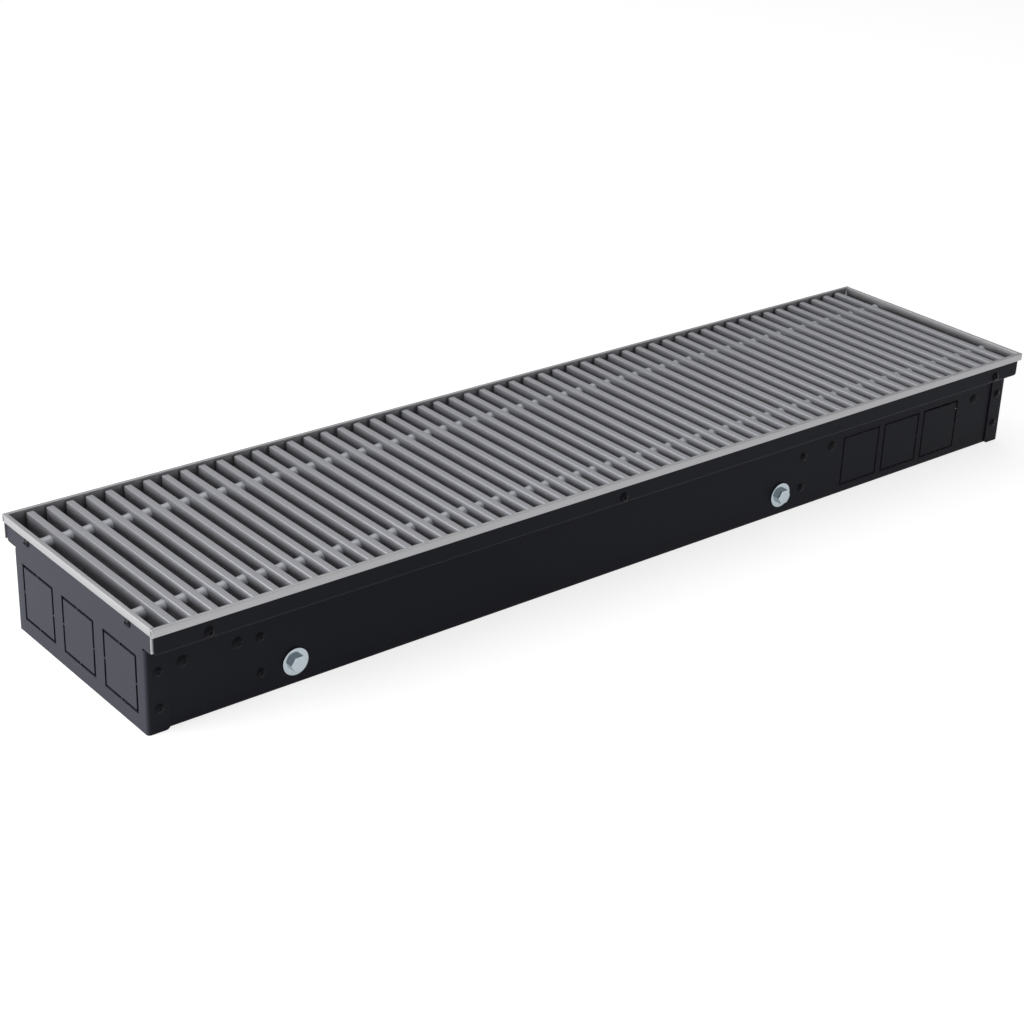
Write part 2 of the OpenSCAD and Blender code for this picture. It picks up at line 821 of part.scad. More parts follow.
// Outline of a slat's cross-section, with round long edges
module slat_section() {
  flat_w = slat_w - 2 * slat_edge_r;
  flat_h = slat_h - 2 * slat_edge_r;
  square([slat_w, flat_h], center = true);
  square([flat_w, slat_h], center = true);
  for (x = ends, z = ends) translate([x * flat_w / 2, z * flat_h / 2]) circle(r = slat_edge_r, $fn = fn_small);
}

// Cross slats with their two rod holes
module grille_slats() {
  color(anodised) for (i = [0:slat_steps])
    translate([first_slat_x + i * slat_pitch, 0, slat_z + slat_h / 2]) difference() {
      translate([0, slat_half_l, 0]) rotate([90, 0, 0]) linear_extrude(height = 2 * slat_half_l) slat_section();
      for (y = ends) translate([-slat_w, y * rod_y, rod_z - slat_z - slat_h / 2]) rotate([0, 90, 0])
        cylinder(r = rod_d / 2 + rod_fit, h = 2 * slat_w);
    }
}

// Half of a bobbin's side: wide at both ends, drawn in to its waist by an arc
module bobbin_shape(length, bore) {
  dip = (bobbin_d - bobbin_waist_d) / 2;
  arc_r = cap_ball_r(length / 2, dip);
  difference() {
    translate([bore, 0]) square([bobbin_d / 2 - bore, length]);
    translate([bobbin_waist_d / 2 + arc_r, length / 2]) circle(r = arc_r);
  }
}

module bobbin_row(side) {
  color(anodised) for (i = [0:slat_steps - 1])
    translate([first_slat_x + i * slat_pitch + slat_w / 2, side * rod_y, rod_z]) rotate([0, 90, 0])
      rotate_extrude() bobbin_shape(bobbin_l, rod_d / 2 + rod_fit);
}

module grille_bobbins_front() {
  bobbin_row(-1);
}

module grille_bobbins_back() {
  bobbin_row(1);
}

// Rods that string the slats together, and the caps on their ends
module rod(side) {
  reach = -first_slat_x + slat_w / 2 + cap_l - cap_wall;
  color(zinc) translate([-reach, side * rod_y, rod_z]) rotate([0, 90, 0]) cylinder(r = rod_d / 2, h = 2 * reach);
}

module grille_rod_front() {
  rod(-1);
}

module grille_rod_back() {
  rod(1);
}

module grille_end_caps() {
  color(anodised) for (x = ends, y = ends)
    translate([x * (-first_slat_x + slat_w / 2), y * rod_y, rod_z]) rotate([0, x * 90, 0]) difference() {
      rotate_extrude() bobbin_shape(cap_l, 0);
      translate([0, 0, -overrun]) cylinder(r = rod_d / 2 + rod_fit, h = cap_l - cap_wall + overrun);
    }
}

trough_body();
end_plate_left();
end_plate_right();
end_plate_rivets();
trim_front();
trim_back();
trim_left();
trim_right();
rim_screws();
end_screws();
seal_strip_front();
seal_strip_back();
wall_plugs();
cross_member_left();
cross_member_right();
cross_member_rivets();
bearer_left();
bearer_right();
bearer_bolts();
bearer_washers();
bearer_nuts();
bearer_pads();
fin_pack();
tube_plate_left();
tube_plate_right();
tube(-1, tube_low_z, tube_low_right_x);  // tube_front_lower
tube(-1, tube_high_z, tube_high_right_x);  // tube_front_upper
tube(1, tube_low_z, tube_low_right_x);  // tube_back_lower
tube(1, tube_high_z, tube_high_right_x);  // tube_back_upper
return_bend(-1);  // return_bend_front
return_bend(1);  // return_bend_back
crossover_header();
bleed_screw();
supply_union();
return_union();
levelling_nuts();
levelling_screw(-1, -1);  // levelling_screw_front_left
levelling_screw(1, -1);  // levelling_screw_front_right
levelling_screw(-1, 1);  // levelling_screw_back_left
levelling_screw(1, 1);  // levelling_screw_back_right
grille_slats();
grille_bobbins_front();
grille_bobbins_back();
grille_rod_front();
grille_rod_back();
grille_end_caps();
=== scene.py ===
# %% [markdown]
# # A trench convector heater
# The heater is a long black sheet-metal trough that is let into a floor. A roll of
# aluminium slats covers it, and a finned copper coil stands inside. The CAD model
# gives every size and joint. This lesson dresses each of its parts with a finer
# mesh and a finish, and leaves every part where the CAD has it.

# %% Frame
import math

import bpy
import numpy as np
from mathutils import Matrix, Vector


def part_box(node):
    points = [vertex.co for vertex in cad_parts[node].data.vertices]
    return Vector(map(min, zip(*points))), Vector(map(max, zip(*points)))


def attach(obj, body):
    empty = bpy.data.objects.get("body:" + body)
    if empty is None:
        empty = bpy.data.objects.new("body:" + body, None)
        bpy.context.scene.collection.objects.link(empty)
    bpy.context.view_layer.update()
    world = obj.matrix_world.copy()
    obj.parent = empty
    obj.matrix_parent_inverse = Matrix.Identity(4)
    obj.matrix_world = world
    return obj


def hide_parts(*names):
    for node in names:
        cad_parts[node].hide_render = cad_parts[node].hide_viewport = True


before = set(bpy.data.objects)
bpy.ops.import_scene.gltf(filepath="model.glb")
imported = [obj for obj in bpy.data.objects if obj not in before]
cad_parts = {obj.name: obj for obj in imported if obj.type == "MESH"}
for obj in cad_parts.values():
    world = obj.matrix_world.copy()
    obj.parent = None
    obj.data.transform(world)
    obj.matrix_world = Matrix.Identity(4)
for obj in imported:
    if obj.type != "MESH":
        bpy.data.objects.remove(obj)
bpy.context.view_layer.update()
MM = 0.001


def measured(node):
    """Lowest and highest corner of a CAD node at rest, in millimetres."""
    low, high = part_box(node)
    return np.array(low) / MM, np.array(high) / MM


CASE_LOW, CASE_HIGH = measured("trim_front")
HALF_L = CASE_HIGH[0]
HALF_W = -CASE_LOW[1]
TOP = CASE_HIGH[2]
ENDS = (-1, 1)
print("heater, in mm:", 2 * HALF_L, 2 * HALF_W, TOP)

# %% [markdown]
# ## The camera
# The photograph was taken with a long lens, from the left and above, and was held
# a little askew. The heading, the tilt and the small roll were worked out from the
# heater's straight edges, so each edge falls where the photograph has it.

# %% Camera
LENS_MM = 73.884
SENSOR_MM = 36
SIGHT = Vector((0.57691, 0.69233, -0.43343))
ROLL_DEG = 2.2634
CAMERA_PLACE = (-1.16215, -1.32155, 0.85507)
cam = bpy.data.objects.new("camera", bpy.data.cameras.new("camera"))
bpy.context.scene.collection.objects.link(cam)
cam.data.lens = LENS_MM
cam.data.sensor_width = SENSOR_MM
facing = SIGHT.to_track_quat("-Z", "Y").to_matrix().to_4x4()
facing = facing @ Matrix.Rotation(math.radians(ROLL_DEG), 4, "Z")
cam.matrix_world = Matrix.Translation(CAMERA_PLACE) @ facing
bpy.context.scene.camera = cam
bpy.context.scene.view_settings.view_transform = "Standard"
print("camera heading:", round(math.degrees(math.atan2(SIGHT.x, SIGHT.y)), 1))

# %% [markdown]
# ## Meshes from grids
# Nearly every part here is a surface of two parameters. One runs round a section
# or across a sheet, and the other along the part. Numpy works out all points at
# once, and the faces follow from the grid's rows and columns. A part is kept as
# its points, in millimetres, and its faces until it is made into an object.

# %% Grid faces


def crossed(one, other):
    """Each value of one with each value of the other, as two long lists."""
    return (a.ravel() for a in np.meshgrid(one, other, indexing="ij"))


def cells(rows, columns, row_ring=False, column_ring=False):
    """Corner numbers of each grid cell; a ring joins the last row or column to the first."""
    i = np.arange(rows if row_ring else rows - 1)
    j = np.arange(columns if column_ring else columns - 1)
    i, j = crossed(i, j)
    up = (i + 1) % rows
    on = (j + 1) % columns
    return np.stack([i * columns + j, i * columns + on, up * columns + on, up * columns + j], 1)


def welded(points, faces):
    """Points that lie together become one, and a cell that loses a corner a triangle."""
    spots = np.round(points, 4)
    _, first, number = np.unique(spots, axis=0, return_index=True, return_inverse=True)
    number = number.ravel().tolist()
    slim = [list(dict.fromkeys(number[k] for k in face)) for face in faces]
    return points[first], [face for face in slim if len(face) > 2]


def surface(grid, row_ring=False, column_ring=True, ends=False):
    """A part from a grid of points. Rows follow each other along the part, and each
    row runs anticlockwise as seen from the part's far end. Ends closes the first
    and the last row with a flat face."""
    rows, columns = grid.shape[:2]
    faces = cells(rows, columns, row_ring, column_ring).tolist()
    if ends:
        faces.append(list(range(columns))[::-1])
        faces.append([(rows - 1) * columns + j for j in range(columns)])
    return welded(grid.reshape(-1, 3), faces)


def joined(parts):
    """Several parts as one, with the later corner numbers moved on."""
    points, faces, count = [], [], 0
    for some_points, some_faces in parts:
        points.append(some_points)
        faces += [[k + count for k in face] for face in some_faces]
        count += len(some_points)
    return np.concatenate(points), faces


def moved(part, x=0, y=0, z=0):
    """The part shifted by x, y and z."""
    return part[0] + np.array([x, y, z]), part[1]


def mirrored(part, axis):
    """The part's mirror image, with its faces turned round so that they still look out."""
    flip = np.ones(3)
    flip[axis] = -1
    return part[0] * flip, [face[::-1] for face in part[1]]


print("a 3 by 4 grid has", len(cells(3, 4)), "cells")

# %% [markdown]
# Screws, rivets, tubes and bobbins are turned parts: a half section goes round an
# axis. A radius that changes with the angle turns the same section into a hexagon
# or a star-shaped recess. Turned parts are drawn standing up, and then laid on a
# wall, on an end plate or along the heater.

# %% Turned parts


def turned(rows, steps=32, ring=False):
    """Round part about Z. Row k is a ring of radius rows[k][0] at height rows[k][1],
    and either of them may be a list over the angle."""
    angle = np.arange(steps) * 2 * math.pi / steps
    r = np.stack([np.broadcast_to(row[0], steps) for row in rows])
    z = np.stack([np.broadcast_to(row[1], steps) for row in rows])
    return surface(np.stack([r * np.cos(angle), r * np.sin(angle), z], -1), row_ring=ring)


def arc(r, z, radius, start, end, count=4):
    """Rows on an arc about (r, z), from one angle to the other, in degrees."""
    a = np.radians(np.linspace(start, end, count))
    return list(zip(r + radius * np.cos(a), z + radius * np.sin(a)))


def dome(r, h, inner, base, height):
    """Rows of a ball's cap of radius r and height h, from its rim in to the radius inner.
    The cap stands on the base and is drawn out or pressed down to the height."""
    ball = (r * r + h * h) / (2 * h)
    rho = np.linspace(r, inner, 6)
    z = h - ball + np.sqrt(ball * ball - rho * rho)
    return list(zip(rho, base + height * z / h))


def same_ends(rows, length, middle=()):
    """Rows of a part that ends as it starts, with the middle rows in between."""
    return rows + list(middle) + [(r, length - z) for r, z in rows[::-1]]


def hexagon(across, steps):
    """Radius of a hexagon over the angle: half its width over the cosine from a flat's middle."""
    angle = np.arange(steps) * 360 / steps
    return across / 2 / np.cos(np.radians(angle % 60 - 30))


def on_wall(part, side, x, y, z):
    """A standing part put on a long wall, with its top pointing out of the heater."""
    p = part[0]
    return np.stack([p[:, 0] + x, side * (p[:, 2] + y), z - side * p[:, 1]], 1), part[1]


def on_end(part, side, x, y, z):
    """A standing part put on an end plate, with its top pointing out of the heater."""
    p = part[0]
    return np.stack([side * (p[:, 2] + x), p[:, 1] + y, z - side * p[:, 0]], 1), part[1]


def lying(part, x, y, z):
    """A standing part laid down so that its axis runs along X from the point x, y, z."""
    return part[0][:, [2, 0, 1]] + np.array([x, y, z]), part[1]


print("a dome starts at radius and height", dome(4, 1.7, 1, 0, 1.7)[0])

# %% [markdown]
# An extruded profile keeps one section for its whole length. A small arc in each
# corner of the section is what catches the light on a real profile, so the corners
# are rounded in the drawing and no bevel is needed afterwards.

# %% Outlines and straight runs


def rounded(corners, radius, steps=4):
    """Closed outline with an arc in each corner: its centre lies on the corner's
    bisector, at the radius over the sine of half the corner's angle."""
    corners = np.array(corners, float)
    out = []
    for k, r in enumerate(np.broadcast_to(radius, len(corners))):
        at = corners[k]
        if r == 0:
            out.append(at[None])
            continue
        back = corners[k - 1] - at
        on = corners[(k + 1) % len(corners)] - at
        back /= np.linalg.norm(back)
        on /= np.linalg.norm(on)
        half = math.acos(back @ on) / 2
        middle = (back + on) / np.linalg.norm(back + on)
        centre = at + middle * r / math.sin(half)
        start = at + back * r / math.tan(half) - centre
        end = at + on * r / math.tan(half) - centre
        first = math.atan2(start[1], start[0])
        sweep = (math.atan2(end[1], end[0]) - first + math.pi) % (2 * math.pi) - math.pi
        a = first + sweep * np.linspace(0, 1, steps + 1)
        out.append(centre + r * np.stack([np.cos(a), np.sin(a)], 1))
    return np.concatenate(out)


def box_outline(width, height, radius, steps=4):
    """Rounded rectangle about the origin."""
    w, h = width / 2, height / 2
    return rounded([(-w, -h), (w, -h), (w, h), (-w, h)], radius, steps)


def filling(low, high, radius, steps=4):
    """Rounded rectangle in Y and Z that fills a box."""
    return box_outline(*(high - low)[1:], radius, steps) + (low[1:] + high[1:]) / 2


def run_x(outline, stops, sizes=None):
    """Outline in Y and Z carried along X through the stops, and scaled by the sizes there."""
    sizes = np.ones(len(stops)) if sizes is None else np.array(sizes)
    middle = (outline.min(0) + outline.max(0)) / 2
    flat = middle + (outline - middle) * sizes[:, None, None]
    x = np.broadcast_to(np.array(stops, float)[:, None, None], flat.shape[:2] + (1,))
    return surface(np.concatenate([x, flat], 2), ends=True)


def run_y(outline, stops, sizes=None):
    """Outline in X and Z carried along Y. Stops that fall turn its faces out, and
    stops that rise, as on the slats and the end trim, turn them in."""
    points, faces = run_x(outline, [-s for s in stops], sizes)
    return np.stack([points[:, 1], -points[:, 0], points[:, 2]], 1), faces


def bar(low, high, edge, end):
    """Stops and sizes of a bar. It is drawn in to the size end over an edge at both ends."""
    return [low, low + edge, high - edge, high], [end, 1, 1, end]


print("a rounded box has", len(box_outline(6.5, 18, 1.1)), "points")

# %% [markdown]
# ## Making an object
# One function turns a part into a Blender object. It scales millimetres to metres,
# shades it smooth with sharp edges kept, gives it its finish, hides the CAD nodes
# that it stands for, hangs it on the body that it rides on, and prints its size.

# %% Object maker


def show(name, part, finish, nodes, body="casing", sharp=35):
    """The object of a part, in the place of the CAD nodes that it stands for."""
    points, faces = part
    mesh = bpy.data.meshes.new(name)
    mesh.from_pydata((points * MM).tolist(), [], faces)
    mesh.shade_smooth()
    mesh.set_sharp_from_angle(angle=math.radians(sharp))
    mesh.materials.append(finish.material)
    piece = bpy.data.objects.new(name, mesh)
    bpy.context.scene.collection.objects.link(piece)
    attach(piece, body)
    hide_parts(*nodes)
    print(name, len(faces), "faces, size in mm", np.round(np.ptp(points, 0), 1))
    return piece


def show_both(name, part, axis, finish, node):
    """A part and its mirror image, with the side in place of the star in each name."""
    sides = (("left", "right"), ("front", "back"))[axis]
    for side, half in zip(sides, (part, mirrored(part, axis))):
        show(name.replace("*", side), half, finish, [node.replace("*", side)])


# %% [markdown]
# ## Finishes
# A material is a net of nodes. Arithmetic between sockets is easier to read as an
# expression, so a small class wraps a socket, and each sum or product on it adds
# the Math node for it. Every other node comes from one method that sets the node's
# options first and then its inputs.

# %% Sockets and nodes


def colour(red, green, blue):
    """Opaque colour from three linear parts."""
    return (red, green, blue, 1.0)


class Wire:
    """A node's output. Arithmetic on it adds Math nodes."""

    def __init__(self, finish, socket):
        self.finish = finish
        self.socket = socket

    def math(self, operation, *values):
        return self.finish.node("ShaderNodeMath", {"operation": operation}, dict(enumerate(values)))

    def __add__(self, other):
        return self.math("ADD", self, other)

    def __sub__(self, other):
        return self.math("SUBTRACT", self, other)

    def __rsub__(self, other):
        return self.math("SUBTRACT", other, self)

    def __mul__(self, other):
        return self.math("MULTIPLY", self, other)

    __radd__ = __add__
    __rmul__ = __mul__

    def also(self, name):
        """Another output of the same node."""
        return Wire(self.finish, self.socket.node.outputs[name])


class Finish:
    """A material or world as a net of nodes, and the record's slot that it stands for."""

    def __init__(self, holder, slot=None):
        holder.use_nodes = True
        self.material = holder
        self.slot = slot
        self.tree = holder.node_tree
        self.tree.nodes.clear()

    def node(self, kind, settings, inputs, output=0):
        """Adds a node: its settings, then the values or links of its sockets."""
        made = self.tree.nodes.new(kind)
        for name, value in settings.items():
            setattr(made, name, value)
        for name, value in inputs.items():
            if isinstance(value, Wire):
                self.tree.links.new(value.socket, made.inputs[name])
            else:
                made.inputs[name].default_value = value
        return Wire(self, made.outputs[output]) if len(made.outputs) else None

    def spot(self, x=1.0, y=1.0, z=1.0):
        """The place on the object, stretched along each axis."""
        place = self.node("ShaderNodeTexCoord", {}, {}, "Object")
        return self.node("ShaderNodeMapping", {}, {"Vector": place, "Scale": (x, y, z)})

    def noise(self, spot, scale, detail=2.0):
        """Soft noise from 0 to 1 with that many patches a metre."""
        inputs = {"Vector": spot, "Scale": scale, "Detail": detail}
        return self.node("ShaderNodeTexNoise", {}, inputs)

    def blend(self, share, one, other):
        """One tone turning into the other as share goes from 0 to 1."""
        ends = {0: share, 6: colour(*one), 7: colour(*other)}
        return self.node("ShaderNodeMix", {"data_type": "RGBA"}, ends, 2)

    def relief(self, height, strength, depth):
        """Small relief of that depth in metres."""
        inputs = {"Height": height, "Strength": strength, "Distance": depth}
        return self.node("ShaderNodeBump", {}, inputs)

    def finished(self, **sockets):
        """The surface itself. Names are written with _ for a space."""
        inputs = {name.replace("_", " "): value for name, value in sockets.items()}
        shader = self.node("ShaderNodeBsdfPrincipled", {}, inputs)
        self.node("ShaderNodeOutputMaterial", {}, {"Surface": shader})
        return self


print("sockets and nodes are ready")

# %% [markdown]
# ### Black powder coat
# The casing is powder coated. Melted powder is never quite flat, so it has a fine
# orange peel, and its sheen changes a little from place to place. A broad noise
# moves the tone and the roughness, and a fine noise makes the peel.

# %% Powder coat


def powder_coat(name, slot, dark, light, rough, sheen, peel):
    """Matt or satin coat: two close tones, a sheen, and a peel of that depth in metres."""
    f = Finish(bpy.data.materials.new(name), slot)
    broad = f.noise(f.spot(), 9.0, 4.0)
    fine = f.noise(f.spot(), 750.0, 2.0)
    return f.finished(
        Base_Color=f.blend(broad, dark, light),
        Roughness=rough + 0.10 * (broad - 0.5) + 0.08 * (fine - 0.5),
        Specular_IOR_Level=sheen,
        Normal=f.relief(fine, 0.35, peel),
    )


CASING_TONES = (0.035, 0.0368, 0.0485), (0.044, 0.0458, 0.059)
casing_paint = powder_coat(
    "casing_powder_coat", "casing_paint", *CASING_TONES, rough=0.42, sheen=0.06, peel=0.00003
)
FIXING_TONES = (0.012, 0.0125, 0.016), (0.022, 0.023, 0.028)
fixing_black = powder_coat(
    "blackened_fixings", "black_fixings", *FIXING_TONES, rough=0.26, sheen=0.07, peel=0.00002
)
print("powder coat:", casing_paint.slot, fixing_black.slot)

# %% [markdown]
# ### Anodised aluminium
# The trim and the slats are extruded, etched and anodised. The die leaves faint
# lines along the profile, and the etch turns the metal into an even silver grey.
# Noise that is stretched along the run gives the lines, so each finish is made for
# the direction in which its profile runs. The bobbins' finish is a lighter copy of
# the slats'. The extra lightness is painted light, which makes the bobbins, down in
# the shade between the slats, look as bright as the slat tops.

# %% Anodised aluminium


def anodised(name, slot, tone, rough, stretch):
    """Silver grey with lines along the run. Stretch is the noise's scale on each axis."""
    f = Finish(bpy.data.materials.new(name), slot)
    lines = f.noise(f.spot(*stretch), 1.0, 3.0)
    haze = f.noise(f.spot(), 14.0, 3.0)
    tone = np.array(tone)
    return f.finished(
        Base_Color=f.blend(0.6 * lines + 0.4 * haze, 0.94 * tone, 1.06 * tone),
        Metallic=1.0,
        Roughness=rough + 0.12 * (lines - 0.5) + 0.06 * (haze - 0.5),
        Normal=f.relief(lines, 0.12, 0.00002),
    )


ALONG_X = (2.5, 900.0, 900.0)
ALONG_Y = (900.0, 2.5, 900.0)
TRIM_TONE = (0.42, 0.42, 0.43)
SLAT_TONE = (0.36, 0.362, 0.385)
# The bobbin tone is lighter than the slat tone. This is painted light: it makes the bobbins, which
# sit in shade between the slats, look as bright as the slat tops.
BOBBIN_TONE_PAINTED_LIGHT = (0.47, 0.48, 0.51)
trim_long_metal = anodised("trim_anodised_long", "trim_aluminium", TRIM_TONE, 0.42, ALONG_X)
trim_end_metal = anodised("trim_anodised_end", "trim_aluminium", TRIM_TONE, 0.42, ALONG_Y)
slat_metal = anodised("slat_anodised", "grille_aluminium", SLAT_TONE, 0.62, ALONG_Y)
bobbin_metal_painted_light = anodised("bobbin_anodised_painted_light", "grille_aluminium", BOBBIN_TONE_PAINTED_LIGHT, 0.62, ALONG_X)
print("anodised finishes: 4")

# %% [markdown]
# ### The other metals
# Galvanised sheet shows zinc crystals, zinc-plated bolts are smoother and bluish,
# copper tube darkens in patches, and brass and nickel stay even. One function
# makes the patchy metals from a noise, and the crystals come from a cell pattern.

# %% Plain metals


def patchy_metal(name, dark, light, rough, patches, wear=0.10):
    """Bare metal whose tone and polish wander between two values in soft patches."""
    f = Finish(bpy.data.materials.new(name), name)
    patch = f.noise(f.spot(), patches, 4.0)
    scuff = f.noise(f.spot(), patches * 12, 2.0)
    return f.finished(
        Base_Color=f.blend(patch, dark, light),
        Metallic=1.0,
        Roughness=rough + wear * (patch - 0.5) + wear * (scuff - 0.5),
        Normal=f.relief(scuff, 0.08, 0.00003),
    )


def spangled(name, dark, light):
    """Galvanised sheet: each crystal is a cell with its own tone and polish."""
    f = Finish(bpy.data.materials.new(name), name)
    crystal = f.node("ShaderNodeTexVoronoi", {}, {"Vector": f.spot(), "Scale": 130.0}, "Color")
    tone = f.node("ShaderNodeSeparateColor", {}, {"Color": crystal})
    dull = f.noise(f.spot(), 30.0, 3.0)
    return f.finished(
        Base_Color=f.blend(0.7 * tone + 0.3 * dull, dark, light),
        Metallic=1.0,
        Roughness=0.34 + 0.16 * tone.also("Green"),
    )


zinc_plate = patchy_metal("zinc_plate", (0.40, 0.46, 0.50), (0.52, 0.58, 0.62), 0.19, 90.0)
copper = patchy_metal("copper_tube", (0.44, 0.19, 0.11), (0.78, 0.40, 0.26), 0.32, 26.0, 0.16)
brass = patchy_metal("union_brass", (0.52, 0.37, 0.16), (0.68, 0.52, 0.26), 0.30, 40.0)
nickel = patchy_metal("bleed_nickel", (0.55, 0.53, 0.50), (0.66, 0.64, 0.60), 0.22, 60.0)
fin_metal = patchy_metal("fin_aluminium", (0.60, 0.61, 0.62), (0.74, 0.75, 0.76), 0.36, 18.0)
galvanised = spangled("galvanised_sheet", (0.38, 0.40, 0.42), (0.56, 0.58, 0.60))
print("metals: 6")

# %% [markdown]
# ### Rubber and plastic
# The sealing strips are matt foam rubber, and the plugs and sliding pads plastic
# with a soft sheen. They need little more than a tone, a roughness and a grain.

# %% Rubber and plastic


def moulded(name, slot, dark, light, rough, grain, depth):
    """Dark moulded material with a grain of that depth in metres."""
    f = Finish(bpy.data.materials.new(name), slot)
    speck = f.noise(f.spot(), grain, 3.0)
    return f.finished(
        Base_Color=f.blend(speck, dark, light),
        Roughness=rough + 0.1 * (speck - 0.5),
        Specular_IOR_Level=0.08,
        Normal=f.relief(speck, 0.5, depth),
    )


SEAL_TONES = (0.008, 0.008, 0.009), (0.020, 0.020, 0.021)
seal_rubber = moulded("seal_foam_rubber", "seal_rubber", *SEAL_TONES, 0.85, 900.0, 0.0002)
PLUG_TONES = (0.014, 0.016, 0.018), (0.022, 0.024, 0.027)
plug_plastic = moulded("plug_plastic", "plug_plastic", *PLUG_TONES, 0.38, 500.0, 0.00002)
PAD_TONES = (0.020, 0.020, 0.022), (0.030, 0.030, 0.032)
pad_plastic = moulded("pad_plastic", "pad_plastic", *PAD_TONES, 0.55, 400.0, 0.00003)
print("moulded finishes: 3")

# %% [markdown]
# ## Folded sheet
# The trough, the end plates, the cross members and the bearers are cut flat and
# then folded, and the meshes are made in the same way. The blank is a grid with a
# line along every cut. Cells inside a cut are left out. The fold then carries each
# line of the blank to its place on a path of straight runs and arcs, so the metal
# keeps its length round each bend. Solidify gives the thickness, and a small bevel
# softens the sheared edges.

# %% Folding


def bent(corners, radius, steps=8):
    """Middle line of a folded sheet. Between two runs it follows an arc, whose
    spoke turns from one run's normal to the next one's."""
    corners = np.array(corners, float)
    line = [corners[:1]]
    for before, at, after in zip(corners, corners[1:], corners[2:]):
        into = (at - before) / np.linalg.norm(at - before)
        out = (after - at) / np.linalg.norm(after - at)
        left = np.array([-into[1], into[0]])
        angle = math.atan2(into[0] * out[1] - into[1] * out[0], into @ out)
        turn = math.copysign(1, angle)
        centre = at - into * radius * math.tan(abs(angle) / 2) + turn * radius * left
        spoke = -turn * radius * left
        a = np.linspace(0, angle, steps + 1)[:, None]
        line.append(centre + spoke * np.cos(a) + np.array([-spoke[1], spoke[0]]) * np.sin(a))
    line.append(corners[-1:])
    return np.concatenate(line)


def channel(tip, web, half, sheet):
    """Middle line of a web across the heater, with a flange to the tip at both sides."""
    return bent([(tip, -half), (web, -half), (web, half), (tip, half)], BEND + sheet / 2)


def lengths(line):
    """How far along the line each of its points lies."""
    return np.concatenate([[0], np.cumsum(np.linalg.norm(np.diff(line, axis=0), axis=1))])


def along(line, point):
    """How far along the line the place nearest to a point lies."""
    start, step = line[:-1], np.diff(line, axis=0)
    share = np.clip(((point - start) * step).sum(1) / (step * step).sum(1), 0, 1)
    k = np.linalg.norm(start + step * share[:, None] - point, axis=1).argmin()
    return lengths(line)[k] + share[k] * np.linalg.norm(step[k])


BEND = 1.5
HOLE_LINES = np.array([-1, -0.5, 0, 0.5, 1])
SHEARED_EDGE = 0.18


def folded(line, across, run, place, keep, holes=()):
    """Sheet part. Across are lists of cuts along the line, and run of cuts along its run.
    Place carries (point on the line, run, distance) to its place in space, and
    keep says for the middle, distance and run of each cell whether there is metal.
    A hole is its distance, run, radius and the half width of the patch round it."""
    s = [lengths(line), *across] + [hole[0] + hole[3] * HOLE_LINES for hole in holes]
    r = run + [hole[1] + hole[3] * HOLE_LINES for hole in holes]
    s = np.unique(np.round(np.concatenate(s), 3))
    r = np.unique(np.round(np.concatenate(r), 3))

    def carried(s, r):
        point = np.stack([np.interp(s, lengths(line), line[:, k]) for k in (0, 1)], -1)
        return place(point, r, s)

    flat_s, flat_r = crossed(s, r)
    mid_s, mid_r = crossed((s[1:] + s[:-1]) / 2, (r[1:] + r[:-1]) / 2)
    metal = keep(carried(mid_s, mid_r), mid_s, mid_r)
    faces = cells(len(s), len(r))
    extra = []
    for hole_s, hole_r, radius, half in holes:
        metal &= ~((abs(mid_s - hole_s) < half) & (abs(mid_r - hole_r) < half))
        far = np.maximum(abs(flat_s - hole_s), abs(flat_r - hole_r))
        rim = np.nonzero(abs(far - half) < 0.01)[0]
        angle = np.arctan2(flat_s[rim] - hole_s, flat_r[rim] - hole_r)
        rim, angle = rim[angle.argsort()], np.sort(angle)
        edge = len(flat_s) + np.arange(len(rim))
        flat_s = np.concatenate([flat_s, hole_s + radius * np.sin(angle)])
        flat_r = np.concatenate([flat_r, hole_r + radius * np.cos(angle)])
        extra.append(np.stack([rim, np.roll(rim, -1), np.roll(edge, -1), edge], 1))
    faces = np.concatenate([faces[metal]] + extra)
    used, number = np.unique(faces, return_inverse=True)
    points = carried(flat_s, flat_r)[used]
    return welded(points, number.reshape(faces.shape).tolist())


def corner_cut(distance, radius):
    """How much a round corner takes off at a distance from the edge that it meets."""
    d = np.clip(distance, 0, radius)
    return radius - np.sqrt(radius**2 - (radius - d) ** 2)


def corner_lines(edge, radius, way):
    """Grid lines that follow a round corner, from an edge in the given way."""
    return edge + way * radius * (1 - np.cos(np.radians([0, 20, 40, 60, 75, 90])))


def slit_lines(centre, half, slit, bridge):
    """Grid lines of one knock-out on one axis."""
    cuts = np.array([bridge / 2, half - slit / 2, half + slit / 2])
    return np.concatenate([centre - cuts, centre + cuts])


def in_slit(a, b, half, slit, bridge):
    """True in the slits round a knock-out, for distances a and b from its middle."""
    a, b = abs(a), abs(b)
    ring = (np.maximum(a, b) > half - slit / 2) & (np.maximum(a, b) < half + slit / 2)
    return ring & (np.minimum(a, b) > bridge / 2)


def show_sheet(name, part, finish, node, thickness):
    """The object of a sheet, with its thickness and softened edges."""
    piece = show(name, part, finish, [node], sharp=60)
    wall = piece.modifiers.new("thickness", "SOLIDIFY")
    wall.thickness = thickness * MM
    wall.offset = 0
    wall.use_even_offset = True
    soft = piece.modifiers.new("edges", "BEVEL")
    soft.width = SHEARED_EDGE * MM
    soft.segments = 2
    soft.limit_method = "ANGLE"
    soft.angle_limit = math.radians(50)
    soft.harden_normals = True


print("folding is ready")

# %% [markdown]
# ### The trough
# One sheet makes the floor, both walls, the ledges for the grille and the upright
# rims that the trim hooks over. Three square knock-outs in each long wall can be
# broken out for the pipes. Each is held by four narrow bridges.

